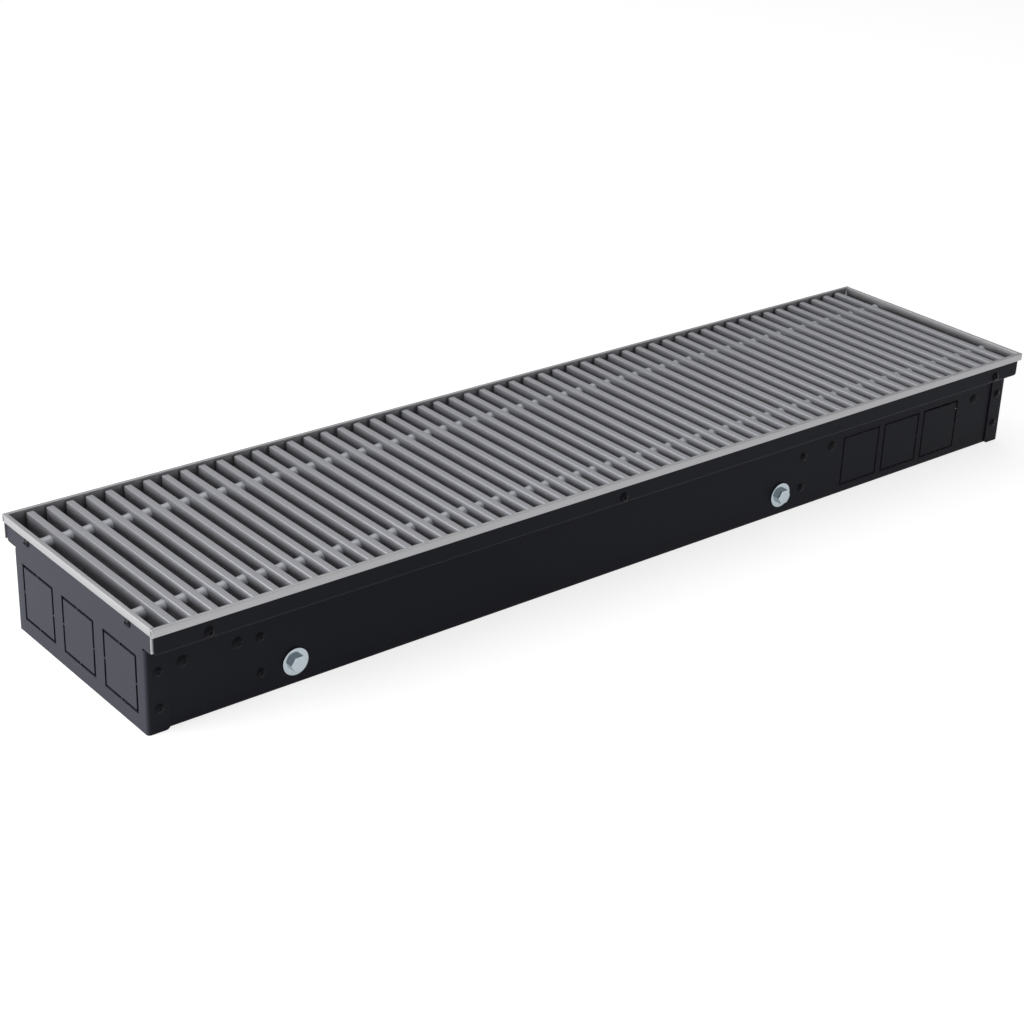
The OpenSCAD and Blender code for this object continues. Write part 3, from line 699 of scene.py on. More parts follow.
# %% Trough
SHEET = 1.0
RIM_CORNER = 4.0
KNOCKOUT = 49.0
SLIT = 1.8
BRIDGE = 1.2
SIDE_KNOCKOUTS = [403.0, 345.4, 287.8]
SIDE_KNOCKOUT_Z = 34.0
NECK = 102.0
EAR_HALF = 116.4
RIM_PAST_WALL = 2.4
FLOOR_PAST_WALL = 1.4
WALL_END, RIM_OUT, RIM_TOP = measured("trough_body")[1]
RIM_LEFT = -WALL_END - RIM_PAST_WALL
FLOOR_END = WALL_END + FLOOR_PAST_WALL
RIM_Y = RIM_OUT - SHEET / 2
WALL_Y = 103.0
LEDGE = 75.4
CORNER_REACH = 8
ledge_z = LEDGE + SHEET / 2
half_path = [(-RIM_Y, RIM_TOP), (-RIM_Y, ledge_z), (-WALL_Y, ledge_z), (-WALL_Y, SHEET / 2)]
trough_line = bent(half_path + [(-y, z) for y, z in half_path[::-1]], BEND + SHEET / 2)


def place_trough(point, run, _):
    """Run goes along X. The rim and the ledge lose a round corner at both ends."""
    y, z = point[..., 0], point[..., 1]
    outside = np.clip((abs(y) - WALL_Y) / 2, 0, 1)
    end = np.where(run < 0, -RIM_LEFT, WALL_END)
    share = np.clip((abs(run) - end + CORNER_REACH) / CORNER_REACH, 0, 1)
    x = run - np.sign(run) * corner_cut(z - LEDGE, RIM_CORNER) * share * outside
    return np.stack([x, y, z], -1)


def trough_metal(middle, _, run):
    """Metal but for the slits, and for the ends: the floor reaches the end plates,
    and the walls stop at their bends. So do the rims at the right, but at the
    left they run past the plate."""
    x, y, z = middle.T
    z_off = z - SIDE_KNOCKOUT_Z
    cut = [in_slit(x - k, z_off, KNOCKOUT / 2, SLIT, BRIDGE) for k in SIDE_KNOCKOUTS]
    slit = np.any(cut, 0) & (abs(abs(y) - WALL_Y) < 1)
    side = abs(y) > NECK
    wall_end = side & (abs(run) > WALL_END) & ((z < LEDGE - BEND) | (run > 0))
    past_plate = (run < -FLOOR_END) & (abs(y) < EAR_HALF)
    return ~(slit | wall_end | past_plate)


wall_cuts = slit_lines(SIDE_KNOCKOUT_Z, KNOCKOUT / 2, SLIT, BRIDGE)
rim_cuts = corner_lines(LEDGE, RIM_CORNER, 1)[1:]
across = [along(trough_line, (side * WALL_Y, z)) for side in ENDS for z in wall_cuts]
across += [along(trough_line, (side * RIM_Y, z)) for side in ENDS for z in rim_cuts]
run = [slit_lines(k, KNOCKOUT / 2, SLIT, BRIDGE) for k in SIDE_KNOCKOUTS]
run += [RIM_LEFT + np.array([0, 3.5, 5, 8]), WALL_END - np.array([0, 1, 3, 5, 8])]
run += [[-FLOOR_END, -WALL_END, FLOOR_END]]
FIXING_MIDDLE, FIXING_X, FIXING_Y, FIXING_R = -93, 210, 78, 4.5
LEVEL_X, LEVEL_Y, LEVEL_R = 470, 84.5, 4.6
HOLE_PATCH = 8.0
LEVEL_PLACES = [(a * LEVEL_X, b * LEVEL_Y) for a in ENDS for b in ENDS]
holes = [(FIXING_MIDDLE + a * FIXING_X, b * FIXING_Y, FIXING_R) for a in ENDS for b in ENDS]
holes += [(x, y, LEVEL_R) for x, y in LEVEL_PLACES]
holes = [(along(trough_line, (y, SHEET / 2)), x, r, HOLE_PATCH) for x, y, r in holes]
trough = folded(trough_line, [across], run, place_trough, trough_metal, holes)
show_sheet("trough_sheet", trough, casing_paint, "trough_body", SHEET)

# %% [markdown]
# ### The end plates
# Each end plate is a T: its stem closes the trough and has a flange folded back
# along each wall, and its ears close the rims. The ears stay flat while the
# flanges below them fold, so the fold is switched by height. The slits round the
# knock-outs are wide at the left, as the photograph shows them, and narrow at the
# right, which it doesn't show.

# %% End plates
END_SHEET = 1.5
LEFT_SLIT = 2.5
RIGHT_SLIT = 1.0
END_KNOCKOUT_Z = 39.2
END_KNOCKOUTS = [-66.0, 0.0, 66.0]
FLANGE_TOP = 73.6
FLANGE_OUT = 105.0
EAR_GAP = 0.3
EAR_LOW = LEDGE + EAR_GAP
plate_low, plate_high = measured("end_plate_left")
PLATE_OUT = -plate_low[0]
PLATE_X = PLATE_OUT - END_SHEET / 2
TIP_X = -plate_high[0]
plate_line = channel(-TIP_X, -PLATE_X, FLANGE_OUT - END_SHEET / 2, END_SHEET)
plate_middle = lengths(plate_line)[-1] / 2


def place_plate(point, run, s):
    """Run goes up. Below the ears the flanges fold back, and their tips and the
    ears' lower corners are rounded."""
    flat_y = s - plate_middle
    ear = run > (FLANGE_TOP + EAR_LOW) / 2
    share = np.clip((abs(flat_y) - EAR_HALF + CORNER_REACH) / CORNER_REACH, 0, 1)
    ear_y = flat_y - np.sign(flat_y) * corner_cut(run - EAR_LOW, RIM_CORNER) * share
    share = np.clip((point[..., 0] + TIP_X + CORNER_REACH) / CORNER_REACH, 0, 1)
    tip = corner_cut(np.minimum(run, FLANGE_TOP - run), RIM_CORNER) * share
    x = np.where(ear, -PLATE_X, point[..., 0] - tip)
    y = np.where(ear, ear_y, point[..., 1])
    return np.stack([x, y, run], -1)


def end_plate(slit):
    """The plate at the left end, with slits of that width round its knock-outs."""

    def plate_metal(middle, s, _):
        """Metal but for the slits, the relief under the ears and what lies beyond them."""
        z = middle[:, 2]
        y = s - plate_middle
        z_off = z - END_KNOCKOUT_Z
        cut = [in_slit(y - k, z_off, KNOCKOUT / 2, slit, BRIDGE) for k in END_KNOCKOUTS]
        relief = (abs(y) > NECK) & (z > FLANGE_TOP) & (z < EAR_LOW)
        beyond = (abs(y) > EAR_HALF) & (z > FLANGE_TOP)
        return ~(np.any(cut, 0) | relief | beyond)

    across = [slit_lines(k, KNOCKOUT / 2, slit, BRIDGE) for k in END_KNOCKOUTS]
    ear_lines = np.append(NECK, EAR_HALF - np.array([8, 5, 2, 0]))
    across = [plate_middle + cuts for cuts in across + [-ear_lines, ear_lines]]
    run = [
        corner_lines(0, RIM_CORNER, 1),
        slit_lines(END_KNOCKOUT_Z, KNOCKOUT / 2, slit, BRIDGE),
        corner_lines(FLANGE_TOP, RIM_CORNER, -1),
        corner_lines(EAR_LOW, RIM_CORNER, 1),
        [RIM_TOP],
    ]
    return folded(plate_line, across, run, place_plate, plate_metal)


right_plate = mirrored(end_plate(RIGHT_SLIT), 0)
show_sheet("left_end_sheet", end_plate(LEFT_SLIT), casing_paint, "end_plate_left", END_SHEET)
show_sheet("right_end_sheet", right_plate, casing_paint, "end_plate_right", END_SHEET)

# %% [markdown]
# ### Cross members and bearers
# Two notched plates stiffen the trough at both ends of the coil, and two straps
# carry it. Both are hidden by the grille until it is lifted out. They are folded
# from galvanised sheet by the same function.

# %% Cross members and bearers
MEMBER_SHEET = 1.5
MEMBER_FOOT = 3.5
NOTCH_HALF = 61.0
WALL_IN = WALL_Y - SHEET / 2
for node, web_side in (("cross_member_left", -1), ("cross_member_right", 1)):
    low, high = measured(node)
    web, tip = (low[0], high[0]) if web_side < 0 else (high[0], low[0])
    web -= web_side * MEMBER_SHEET / 2
    line = channel(tip, web, WALL_IN - MEMBER_SHEET / 2, MEMBER_SHEET)
    foot = low[2] + MEMBER_FOOT
    part = folded(
        line,
        [[along(line, (web, side * NOTCH_HALF)) for side in ENDS]],
        [[low[2], foot, high[2]]],
        lambda point, run, s: np.concatenate([point, run[..., None]], -1),
        lambda middle, s, run: ~((abs(middle[:, 1]) < NOTCH_HALF) & (run > foot)),
    )
    show_sheet(node.replace("member", "plate"), part, galvanised, node, MEMBER_SHEET)

BEARER_SHEET = 2.0
BEARER_CORNER = 5.0
BEARER_HALF = 14
BEARER_XS = []
for node in ("bearer_left", "bearer_right"):
    low, high = measured(node)
    BEARER_XS.append((low[0] + high[0]) / 2)
    arm = high[1] - BEARER_SHEET / 2
    base = low[2] + BEARER_SHEET / 2
    path = [(-arm, high[2]), (-arm, base), (arm, base), (arm, high[2])]
    line = bent(path, BEND + BEARER_SHEET / 2)

    def place_bearer(point, run, _, top=high[2], middle=BEARER_XS[-1]):
        """Run goes along X, and the arms' upper corners are rounded."""
        drawn_in = corner_cut(top - point[..., 1], BEARER_CORNER) / BEARER_HALF
        x = middle + (run - middle) * (1 - drawn_in)
        return np.stack([x, point[..., 0], point[..., 1]], -1)

    tops = corner_lines(high[2], BEARER_CORNER, -1)
    part = folded(
        line,
        [[along(line, (side * arm, z)) for side in ENDS for z in tops]],
        [np.linspace(low[0], high[0], 5)],
        place_bearer,
        lambda middle, s, run: np.ones(len(middle), bool),
    )
    show_sheet(node.replace("bearer", "strap"), part, galvanised, node, BEARER_SHEET)

# %% [markdown]
# ## The trim
# The trim is an F-shaped profile: a short lip outside, a flat top, and a tall leg
# inside, with a slot that slides over the rim. The long profiles run through at
# the corners and show their cut ends, and the end profiles butt between them. At
# the connection end the long profiles' legs are notched back to the rim.

# %% Trim profiles
SKIN = 1.1
PLAY = 0.1
TRIM_TOP = 1.5
LIP = 7.0
LEG_Z = CASE_LOW[2]


def trim_section(sheet):
    """Section with its outer face at 0, and the radius of each of its corners."""
    leg_out = SKIN + PLAY + sheet + PLAY
    leg_in = leg_out + SKIN
    corners = [
        (0, TOP, 0.45),
        (0, TOP - LIP, 0.3),
        (SKIN, TOP - LIP, 0.3),
        (SKIN, TOP - TRIM_TOP, 0),
        (leg_out, TOP - TRIM_TOP, 0),
        (leg_out, LEG_Z, 0.3),
        (leg_in, LEG_Z, 0.3),
        (leg_in, TOP, 0.4),
    ]
    corners = np.array(corners)
    return rounded(corners[:, :2], corners[:, 2])


long_section = trim_section(SHEET) - np.array([HALF_W, 0])
no_leg = long_section.copy()
in_leg = (long_section[:, 0] > SKIN + PLAY - HALF_W) & (long_section[:, 1] < TOP - TRIM_TOP)
no_leg[in_leg, 1] = TOP - TRIM_TOP
stations = [(-HALF_L, long_section), (WALL_END, long_section)]
stations += [(WALL_END, no_leg), (HALF_L, no_leg)]
grid = np.stack([np.column_stack([np.full(len(flat), x), flat]) for x, flat in stations])
show_both("*_trim_profile", surface(grid, ends=True), 1, trim_long_metal, "trim_*")
end_half = measured("trim_left")[1][1]
end_section = trim_section(END_SHEET) - np.array([HALF_L, 0])
left_trim = run_y(end_section, [-end_half, end_half])
show_both("*_trim_profile", left_trim, 0, trim_end_metal, "trim_*")

# %% [markdown]
# A soft strip lies on each ledge under the slat ends, so that the grille doesn't
# rattle. It is a plain rounded bar.

# %% Sealing strips
low, high = measured("seal_strip_front")
strip = run_x(filling(low, high, 0.8), *bar(low[0], high[0], edge=0.5, end=0.94))
show_both("*_sealing_strip", strip, 1, seal_rubber, "seal_strip_*")

# %% [markdown]
# ## The grille
# Fifty-four slats are strung on two rods, with a bobbin between each two to keep
# their distance. The bobbins are wide where they meet a slat and drawn in between.
# A slat is one outline carried across the heater and copied along it.

# %% Slats
SLAT_W = 6.5
SLAT_H = 18.0
SLAT_EDGE = 0.7
SLAT_CHAMFER = 0.35
low, high = measured("grille_slats")
SLATS = 54
slat_xs = np.linspace(low[0] + SLAT_W / 2, high[0] - SLAT_W / 2, SLATS)
slat_mid_z = (low[2] + high[2]) / 2
outline = box_outline(SLAT_W, SLAT_H, SLAT_EDGE) + np.array([0, slat_mid_z])
slat = run_y(outline, *bar(-high[1], high[1], SLAT_CHAMFER, 1 - 2 * SLAT_CHAMFER / SLAT_H))
slats = joined([moved(slat, x=x) for x in slat_xs])
show("grille_slat_row", slats, slat_metal, ["grille_slats"], "grille")

# %% Bobbins, rods and caps
ROD_Y = 73.0
ROD_Z = 87.2
BOBBIN_R = 6.0
WAIST_R = 5.2
ROUND = 0.2
gap = slat_xs[1] - slat_xs[0] - SLAT_W


def bobbin(length):
    """Turned solid: full radius at both ends, and between them an arc down to the waist."""
    t = np.linspace(0, 1, 9)[1:-1]
    r = BOBBIN_R - (BOBBIN_R - WAIST_R) * (1 - (2 * t - 1) ** 2)
    rim = [(0, 0), (BOBBIN_R - ROUND, 0), (BOBBIN_R, ROUND)]
    return turned(same_ends(rim, length, zip(r, length * t)), 24)


# The bobbins and the end caps take the bobbin finish, whose lighter tone is painted light for the
# shade between the slats.
ROWS = ((-1, "front"), (1, "back"))
for side, where in ROWS:
    row = joined([lying(bobbin(gap), x + SLAT_W / 2, side * ROD_Y, ROD_Z) for x in slat_xs[:-1]])
    show(f"{where}_bobbin_row", row, bobbin_metal_painted_light, [f"grille_bobbins_{where}"], "grille")
    low, high = measured(f"grille_rod_{where}")
    rod = turned(same_ends([(0, 0), (1.7, 0), (2, 0.3)], high[0] - low[0]))
    rod = lying(rod, low[0], side * ROD_Y, ROD_Z)
    show(f"{where}_grille_rod", rod, zinc_plate, [f"grille_rod_{where}"], "grille")
low, high = measured("grille_end_caps")
cap_length = slat_xs[0] - SLAT_W / 2 - low[0]
cap_xs = (low[0], high[0] - cap_length)
caps = [lying(bobbin(cap_length), x, side * ROD_Y, ROD_Z) for side in ENDS for x in cap_xs]
show("grille_cap_set", joined(caps), bobbin_metal_painted_light, ["grille_end_caps"], "grille")

# %% [markdown]
# ## Fixings on the casing
# Blind rivets hold the end plates and cross members, small pan screws the trim,
# and domed plugs close unused holes. They are small, but a raised head with its
# highlight is what makes a plain black wall readable.

# %% Rivets, screws and plugs
WALL_OUT = WALL_Y + SHEET / 2
RIVET_ZS = (21.0, 53.0)
RIVET_END_X = HALF_L - 12
RIVET_MEMBER_XS = (-396.5, 208.0)


def on_walls(part, xs, y, zs):
    """Copies of a standing part on both long walls, at each x and z."""
    return joined([on_wall(part, side, x, y, z) for side in ENDS for x in xs for z in zs])


def blind_rivet(grip):
    """Bulb and shank behind the sheets, then a domed head with its sunk mandrel."""
    bulb = [(0, -3.2), (2.2, -3.2), (2.9, -2.4), (2.9, -0.5), (2.4, 0), (2, 0)]
    rows = [(r, z - grip) for r, z in bulb]
    rows += [(2, 0), (3.75, 0), (4, 0.2), (4, 0.45)]
    rows += dome(3.95, 1.7, 1.5, 0.45, 1.25)
    rows += [(1.3, 1.6), (1.15, 1.3), (1.1, 1.1), (0.8, 1.15), (0, 1.3)]
    return turned(rows, 28)


rivet = blind_rivet(END_SHEET + SHEET)
rivets = on_walls(rivet, (-RIVET_END_X, RIVET_END_X), FLANGE_OUT, RIVET_ZS)
show("end_plate_rivet_set", rivets, fixing_black, ["end_plate_rivets"])
rivets = on_walls(blind_rivet(SHEET + MEMBER_SHEET), RIVET_MEMBER_XS, WALL_OUT, RIVET_ZS)
show("cross_plate_rivet_set", rivets, fixing_black, ["cross_member_rivets"])

STAR_STEPS = 36
star = 1.25 * (1 + 0.17 * np.cos(6 * np.arange(STAR_STEPS) * 2 * math.pi / STAR_STEPS))


def pan_screw(head, length):
    """Pan head with a six-lobed recess, on a short shank."""
    rows = [(0, -length), (0.9, -length), (1.6, 0.8 - length), (1.6, 0)]
    rows += [(head - 0.25, 0), (head, 0.2), (head, 0.7)]
    rows += dome(head - 0.1, 2.2, 1.9, 0.7, 1.5)
    rows += [(star * 1.12, 2.12), (star, 1.95), (star * 0.92, 1.1), (0, 1.0)]
    return turned(rows, STAR_STEPS)


RIM_SCREW_XS = (-450.5, -34.0, 463.0)
RIM_SCREW_Z = 81.6
screws = on_walls(pan_screw(head=4.5, length=3.3), RIM_SCREW_XS, RIM_OUT, [RIM_SCREW_Z])
show("rim_screw_set", screws, fixing_black, ["rim_screws"])
END_SCREW_Y, END_SCREW_Z = 81, 88.3
screw = pan_screw(head=4.2, length=5.1)
places = [(side, y * END_SCREW_Y) for side in ENDS for y in ENDS]
screws = [on_end(screw, side, PLATE_OUT, y, END_SCREW_Z) for side, y in places]
show("end_screw_set", joined(screws), fixing_black, ["end_screws"])

PLUG_XS = (-466.0, -417.0, 246.0, 453.0)
PLUG_Z = 54.4


def blanking_plug():
    """Domed disc with a dimple, which the warp pushes off the middle, and a barbed stem."""
    rows = [(0, -2.4), (3.3, -2.4), (4.5, -1.1), (3.95, -1), (3.95, 0), (5.0, 0), (5.2, 0.15)]
    rows += dome(5.2, 1.8, 1.9, 0.2, 1.6)
    rows += [(1.5, 1.62), (1.2, 1.3), (0.7, 1.12), (0, 1.08)]
    points, faces = turned(rows, 32)
    rho = np.hypot(points[:, 0], points[:, 1])
    points[:, 0] += 1.1 * np.clip(1 - (rho / 4.5) ** 2, 0, 1) * (points[:, 2] > 0.3)
    return points, faces


plugs = on_walls(blanking_plug(), PLUG_XS, WALL_OUT, [PLUG_Z])
show("wall_plug_set", plugs, plug_plastic, ["wall_plugs"])

# %% [markdown]
# Each bearer hangs on an M8 bolt through the wall, with a penny washer outside and
# a nut inside. A forged hexagon head is chamfered by a cone, which leaves a curved
# edge on each flat: the head's height falls with the distance from a circle that
# just touches the flats. Threads are a ring whose radius rises and falls along a
# slope that climbs one pitch a turn.

# %% Bolts, washers and nuts
HEX_STEPS = 48
THREAD_STEPS = 24


def hex_block(across, height, bore=0, both=True):
    """Hexagon block standing on 0, chamfered on top, and below too where both is true."""
    r = hexagon(across, HEX_STEPS)
    circle = 0.47 * across
    drop = np.maximum(r - circle, 0) * 0.5
    rows = [(circle, 0), (r, drop if both else 0)]
    rows += [(r, height - drop), (circle, height)]
    if bore:
        rows += [(bore + 0.5, height), (bore, height - 0.5), (bore, 0.5), (bore + 0.5, 0)]
        return turned(rows, HEX_STEPS, ring=True)
    rows += [(0.6 * circle, height - 0.25), (0, height - 0.25)]
    return turned([(0, 0)] + rows, HEX_STEPS)


def threaded(core, crest, pitch, low, high):
    """Threaded rod: the radius is a triangle wave of the height over the pitch, less
    the share of a turn, and fades to the core at both ends."""
    z = np.linspace(low, high, int((high - low) / pitch * 5) + 2)
    turn = np.arange(THREAD_STEPS) / THREAD_STEPS
    wave = 2 * abs((z[:, None] / pitch - turn) % 1 - 0.5)
    fade = np.clip(np.minimum(z - low, high - z) / pitch, 0, 1)[:, None]
    r = core + (crest - core) * wave * fade
    return turned([(0, low), *zip(r, z), (0, high)], THREAD_STEPS)


M8_THREAD = (3.45, 3.98, 1.25)
BOLT_Z = 21.5
WASHER = 2.0
HEAD_AF = 13.0
HEAD_H = 5.3
NUT_H = 6.5
SHANK_R = 3.98
GRIP = SHEET + BEARER_SHEET
shank = turned([(0, 0), (SHANK_R, 0), (SHANK_R, GRIP + WASHER), (0, GRIP + WASHER)])
bolt = joined(
    [
        moved(hex_block(HEAD_AF, HEAD_H, both=False), z=WASHER),
        threaded(*M8_THREAD, -GRIP - NUT_H - 2, -GRIP + 0.5),
        moved(shank, z=-GRIP),
    ]
)
washer_rows = arc(11.6, 0.4, 0.4, -90, 0) + arc(11.6, WASHER - 0.4, 0.4, 0, 90)
washer_rows += arc(4.9, WASHER - 0.4, 0.4, 90, 180) + arc(4.9, 0.4, 0.4, 180, 270)
washer = turned(washer_rows, 64, ring=True)
nut = moved(hex_block(HEAD_AF, NUT_H, bore=4.0), z=-GRIP - NUT_H)
for kind, part in (("bolt", bolt), ("washer", washer), ("nut", nut)):
    four = on_walls(part, BEARER_XS, WALL_OUT, [BOLT_Z])
    show(f"bearer_{kind}_set", four, zinc_plate, [f"bearer_{kind}s"])

# %% Levelling screws
LEVEL_HEAD_Z = 25.8
KNURL_STEPS = 96
KEY_AF = 6
angle = np.arange(KNURL_STEPS) * 2 * math.pi / KNURL_STEPS
knurl = 6.5 - 0.12 * (1 - np.cos(24 * angle))
socket = hexagon(KEY_AF, KNURL_STEPS)
head_rows = [(0, 0), (5.6, 0), (6.1, 0.3), (knurl, 0.8), (knurl, 7.2), (6.1, 7.7), (5.7, 8)]
head_rows += [(3.75, 8), (socket, 7.6), (socket, 4), (0, 3.6)]
level_head = moved(turned(head_rows, KNURL_STEPS), z=LEVEL_HEAD_Z)
level_rod = threaded(*M8_THREAD, 0.3, LEVEL_HEAD_Z + 0.5)
for x, y in LEVEL_PLACES:
    corner = ("front" if y < 0 else "back") + ("_left" if x < 0 else "_right")
    node = f"levelling_screw_{corner}"
    part = moved(joined([level_rod, level_head]), x, y)
    show(f"level_{corner}_set", part, zinc_plate, [node], node)
nut = hex_block(HEAD_AF, NUT_H, bore=4.05)
nuts = joined([moved(nut, x, y, SHEET) for x, y in LEVEL_PLACES])
show("level_nut_set", nuts, zinc_plate, ["levelling_nuts"])

# %% [markdown]
# ## The coil
# Four copper tubes pass through seventy-two aluminium fins. Each fin is pressed
# with shallow waves, which stiffen it and stir the air, and its collars space it
# from the next one. A fin is a thin plate whose face moves to and fro as a sine of
# the distance across it.

# %% Fins and collars
FIN_PITCH = 8.0
FIN_T = 0.4
TUBE_Y = 27.5
TUBE_ZS = (20.5, 45.5)
TUBE_R = 7.5
COLLAR_R = 8.3
CUT = 3
WAVE_Y = 18
low, high = measured("fin_pack")
fin_xs = np.arange(low[0], high[0] - FIN_T + 0.01, FIN_PITCH)


def plate(low, high, thickness, wave=0.0):
    """Thin upright plate with cut corners. Its face shifts by a sine across the width."""
    width = high[1] - low[1]
    z = np.array([low[2], low[2] + CUT, (low[2] + high[2]) / 2, high[2] - CUT, high[2]])
    half = width / 2 - np.array([CUT, 0, 0, 0, CUT])
    y = np.linspace(-1, 1, 23) * half[:, None]
    z = np.broadcast_to(z[:, None], y.shape)
    shift = wave * np.sin(2 * math.pi * y / WAVE_Y) * np.cos(math.pi * y / width)
    near = np.stack([shift, y, z], -1)
    far = near + np.array([thickness, 0, 0])
    front = surface(near[:, ::-1], column_ring=False)
    back = surface(far, column_ring=False)

    def edge_of(a):
        return np.concatenate([a[0], a[1:, -1], a[-1, -2::-1], a[-2:0:-1, 0]])

    rim = surface(np.stack([edge_of(near), edge_of(far)]))
    return welded(*joined([front, back, rim]))


fin = plate(low, high, FIN_T, wave=0.55)
fins = [moved(fin, x=x) for x in fin_xs]
ring_x = (fin_xs[:, None] + np.array([-0.9, 0, 0.9, FIN_PITCH / 2])).ravel()
ring_r = np.tile([COLLAR_R, 8.75, COLLAR_R, COLLAR_R], len(fin_xs))
inside = (ring_x > low[0]) & (ring_x < high[0])
rows = [(TUBE_R, low[0]), (COLLAR_R, low[0]), *zip(ring_r[inside], ring_x[inside])]
rows += [(COLLAR_R, high[0]), (TUBE_R, high[0])]
collar = turned(rows, 16, ring=True)
collars = [lying(collar, 0, y * TUBE_Y, z) for y in ENDS for z in TUBE_ZS]
show("fin_row", joined(fins + collars), fin_metal, ["fin_pack"], sharp=40)
for node in ("tube_plate_left", "tube_plate_right"):
    low, high = measured(node)
    part = moved(plate(low, high, high[0] - low[0]), x=low[0])
    show(node.replace("tube", "coil"), part, galvanised, [node])
PAD_HALF = 12
low, high = measured("bearer_pads")
pad = filling(low, high, 0.25, steps=2)
pads = [run_x(pad, *bar(x - PAD_HALF, x + PAD_HALF, edge=0.3, end=0.99)) for x in BEARER_XS]
show("sliding_pad_pair", joined(pads), pad_plastic, ["bearer_pads"])

# %% [markdown]
# The tubes are drawn copper with a small round at each cut edge. At the left end
# each row is joined by a hairpin, which is soldered into the widened tube ends.

# %% Tubes and bends
WALL_T = 0.8


def pipe(length, r=TUBE_R, wall=WALL_T):
    """Open tube standing on 0, with a ring section."""
    return turned(same_ends([(r - wall, 0), (r - ROUND, 0), (r, ROUND)], length), ring=True)


sleeve = pipe(7, TUBE_R + 0.5, 1.0)
for side, where in ROWS:
    for level, z in zip(("lower", "upper"), TUBE_ZS):
        low, high = measured(f"tube_{where}_{level}")
        tube = lying(pipe(high[0] - low[0]), low[0], side * TUBE_Y, z)
        part = joined([tube, lying(sleeve, low[0] + 0.1, side * TUBE_Y, z)])
        show(f"{where}_{level}_copper_tube", part, copper, [f"tube_{where}_{level}"])
bend_x = measured("tube_front_lower")[0][0]
ring_mid = sum(TUBE_ZS) / 2
ring_r = (TUBE_ZS[1] - TUBE_ZS[0]) / 2


def hairpin(y):
    """Half ring: a circle carried round a half circle from the lower tube to the upper.
    This way round its faces look in."""
    way = np.linspace(-math.pi / 2, math.pi / 2, 25)[:, None]
    angle = np.arange(24) * 2 * math.pi / 24
    reach = ring_r + TUBE_R * np.cos(angle)
    x = bend_x - reach * np.cos(way)
    z = ring_mid + reach * np.sin(way)
    across_y = np.broadcast_to(y + TUBE_R * np.sin(angle), x.shape)
    return surface(np.stack([x, across_y, z], -1), ends=True)


for side, where in ROWS:
    show(f"{where}_hairpin", hairpin(side * TUBE_Y), copper, [f"return_bend_{where}"])

# %% [markdown]
# A turned brass header joins the upper tubes at the right, with a boss for the
# bleed screw. The lower tubes end in unions: a socket, a hexagon for the wrench
# and an inside thread for the valve.

# %% Header, bleed screw and unions
low, high = measured("crossover_header")
HEADER_R = 11.0
header_x = low[0] + HEADER_R
length = high[1] - low[1]
bead = [(HEADER_R, 11), (HEADER_R + 0.3, 12), (HEADER_R + 0.3, 15), (HEADER_R, 16)]
rows = [(0, 0), (6, 0)] + arc(HEADER_R - 2, 2, 2, -90, 0) + bead
header = turned(same_ends(rows, length, [(HEADER_R, length / 2)]), 40)
header = on_wall(header, 1, header_x, low[1], TUBE_ZS[1])
BOSS_R = 6.5
BORE_R = 3.05
BOSS_TOP = 54.5
boss_x = high[0] - BOSS_R
rows = arc(BOSS_R - 0.8, 41.3, 0.8, -90, 0)
rows += [(BOSS_R, 50), (BOSS_R, BOSS_TOP - 0.6), (BOSS_R - 0.6, BOSS_TOP)]
rows += [(BORE_R + 0.5, BOSS_TOP), (BORE_R, BOSS_TOP - 0.5), (BORE_R, 44.5)]
rows += [(0.01, 44.2), (0.01, 40.6)]
boss = moved(turned(rows, 36, ring=True), x=boss_x)
neck = turned([(0, 0), (5.5, 0), (4.8, 3), (4.8, 12), (0, 12)])
neck = lying(neck, header_x + 6, 0, TUBE_ZS[1])
show("brass_header", joined([header, boss, neck]), brass, ["crossover_header"])


def slotted_screw(head_r, head_h, slot, depth, thread, stem):
    """Head of two halves on a base, with a slot between them, and its threaded stem.
    Each half is an outline cut straight along the slot."""
    a = np.radians(np.linspace(0, 180, 25))
    reach = math.asin(slot / 2 / head_r)
    a = reach + a * (math.pi - 2 * reach) / math.pi
    half = np.stack([head_r * np.cos(a), head_r * np.sin(a)], 1)
    floor_z = head_h - depth
    levels = [(floor_z, 1.0), (head_h - 0.4, 1.0), (head_h, 0.93)]
    grid = np.stack([np.column_stack([half * size, np.full(len(half), z)]) for z, size in levels])
    grid[:, :, 1] = np.maximum(grid[:, :, 1], slot / 2)
    top = surface(grid, ends=True)
    other = (top[0] * np.array([-1, -1, 1]), top[1])
    base = turned([(0, 0), (head_r - 0.4, 0), (head_r, 0.4), (head_r, floor_z), (0, floor_z)], 48)
    return joined([top, other, base, threaded(*thread, -stem, 0.3)])


BLEED_HEAD_H = 5.0
BLEED_THREAD = (2.5, 2.98, 0.8)
bleed = slotted_screw(4.6, BLEED_HEAD_H, slot=1.2, depth=1.6, thread=BLEED_THREAD, stem=9)
bleed = moved(bleed, boss_x, 0, measured("bleed_screw")[1][2] - BLEED_HEAD_H)
show("nickel_bleed_screw", bleed, nickel, ["bleed_screw"], "bleed_screw")


UNION_R = 12.5
UNION_HEX_H = 12
UNION_BORE = TUBE_R + 0.05
UNION_CORE = 9.3
UNION_PITCH = 1.4


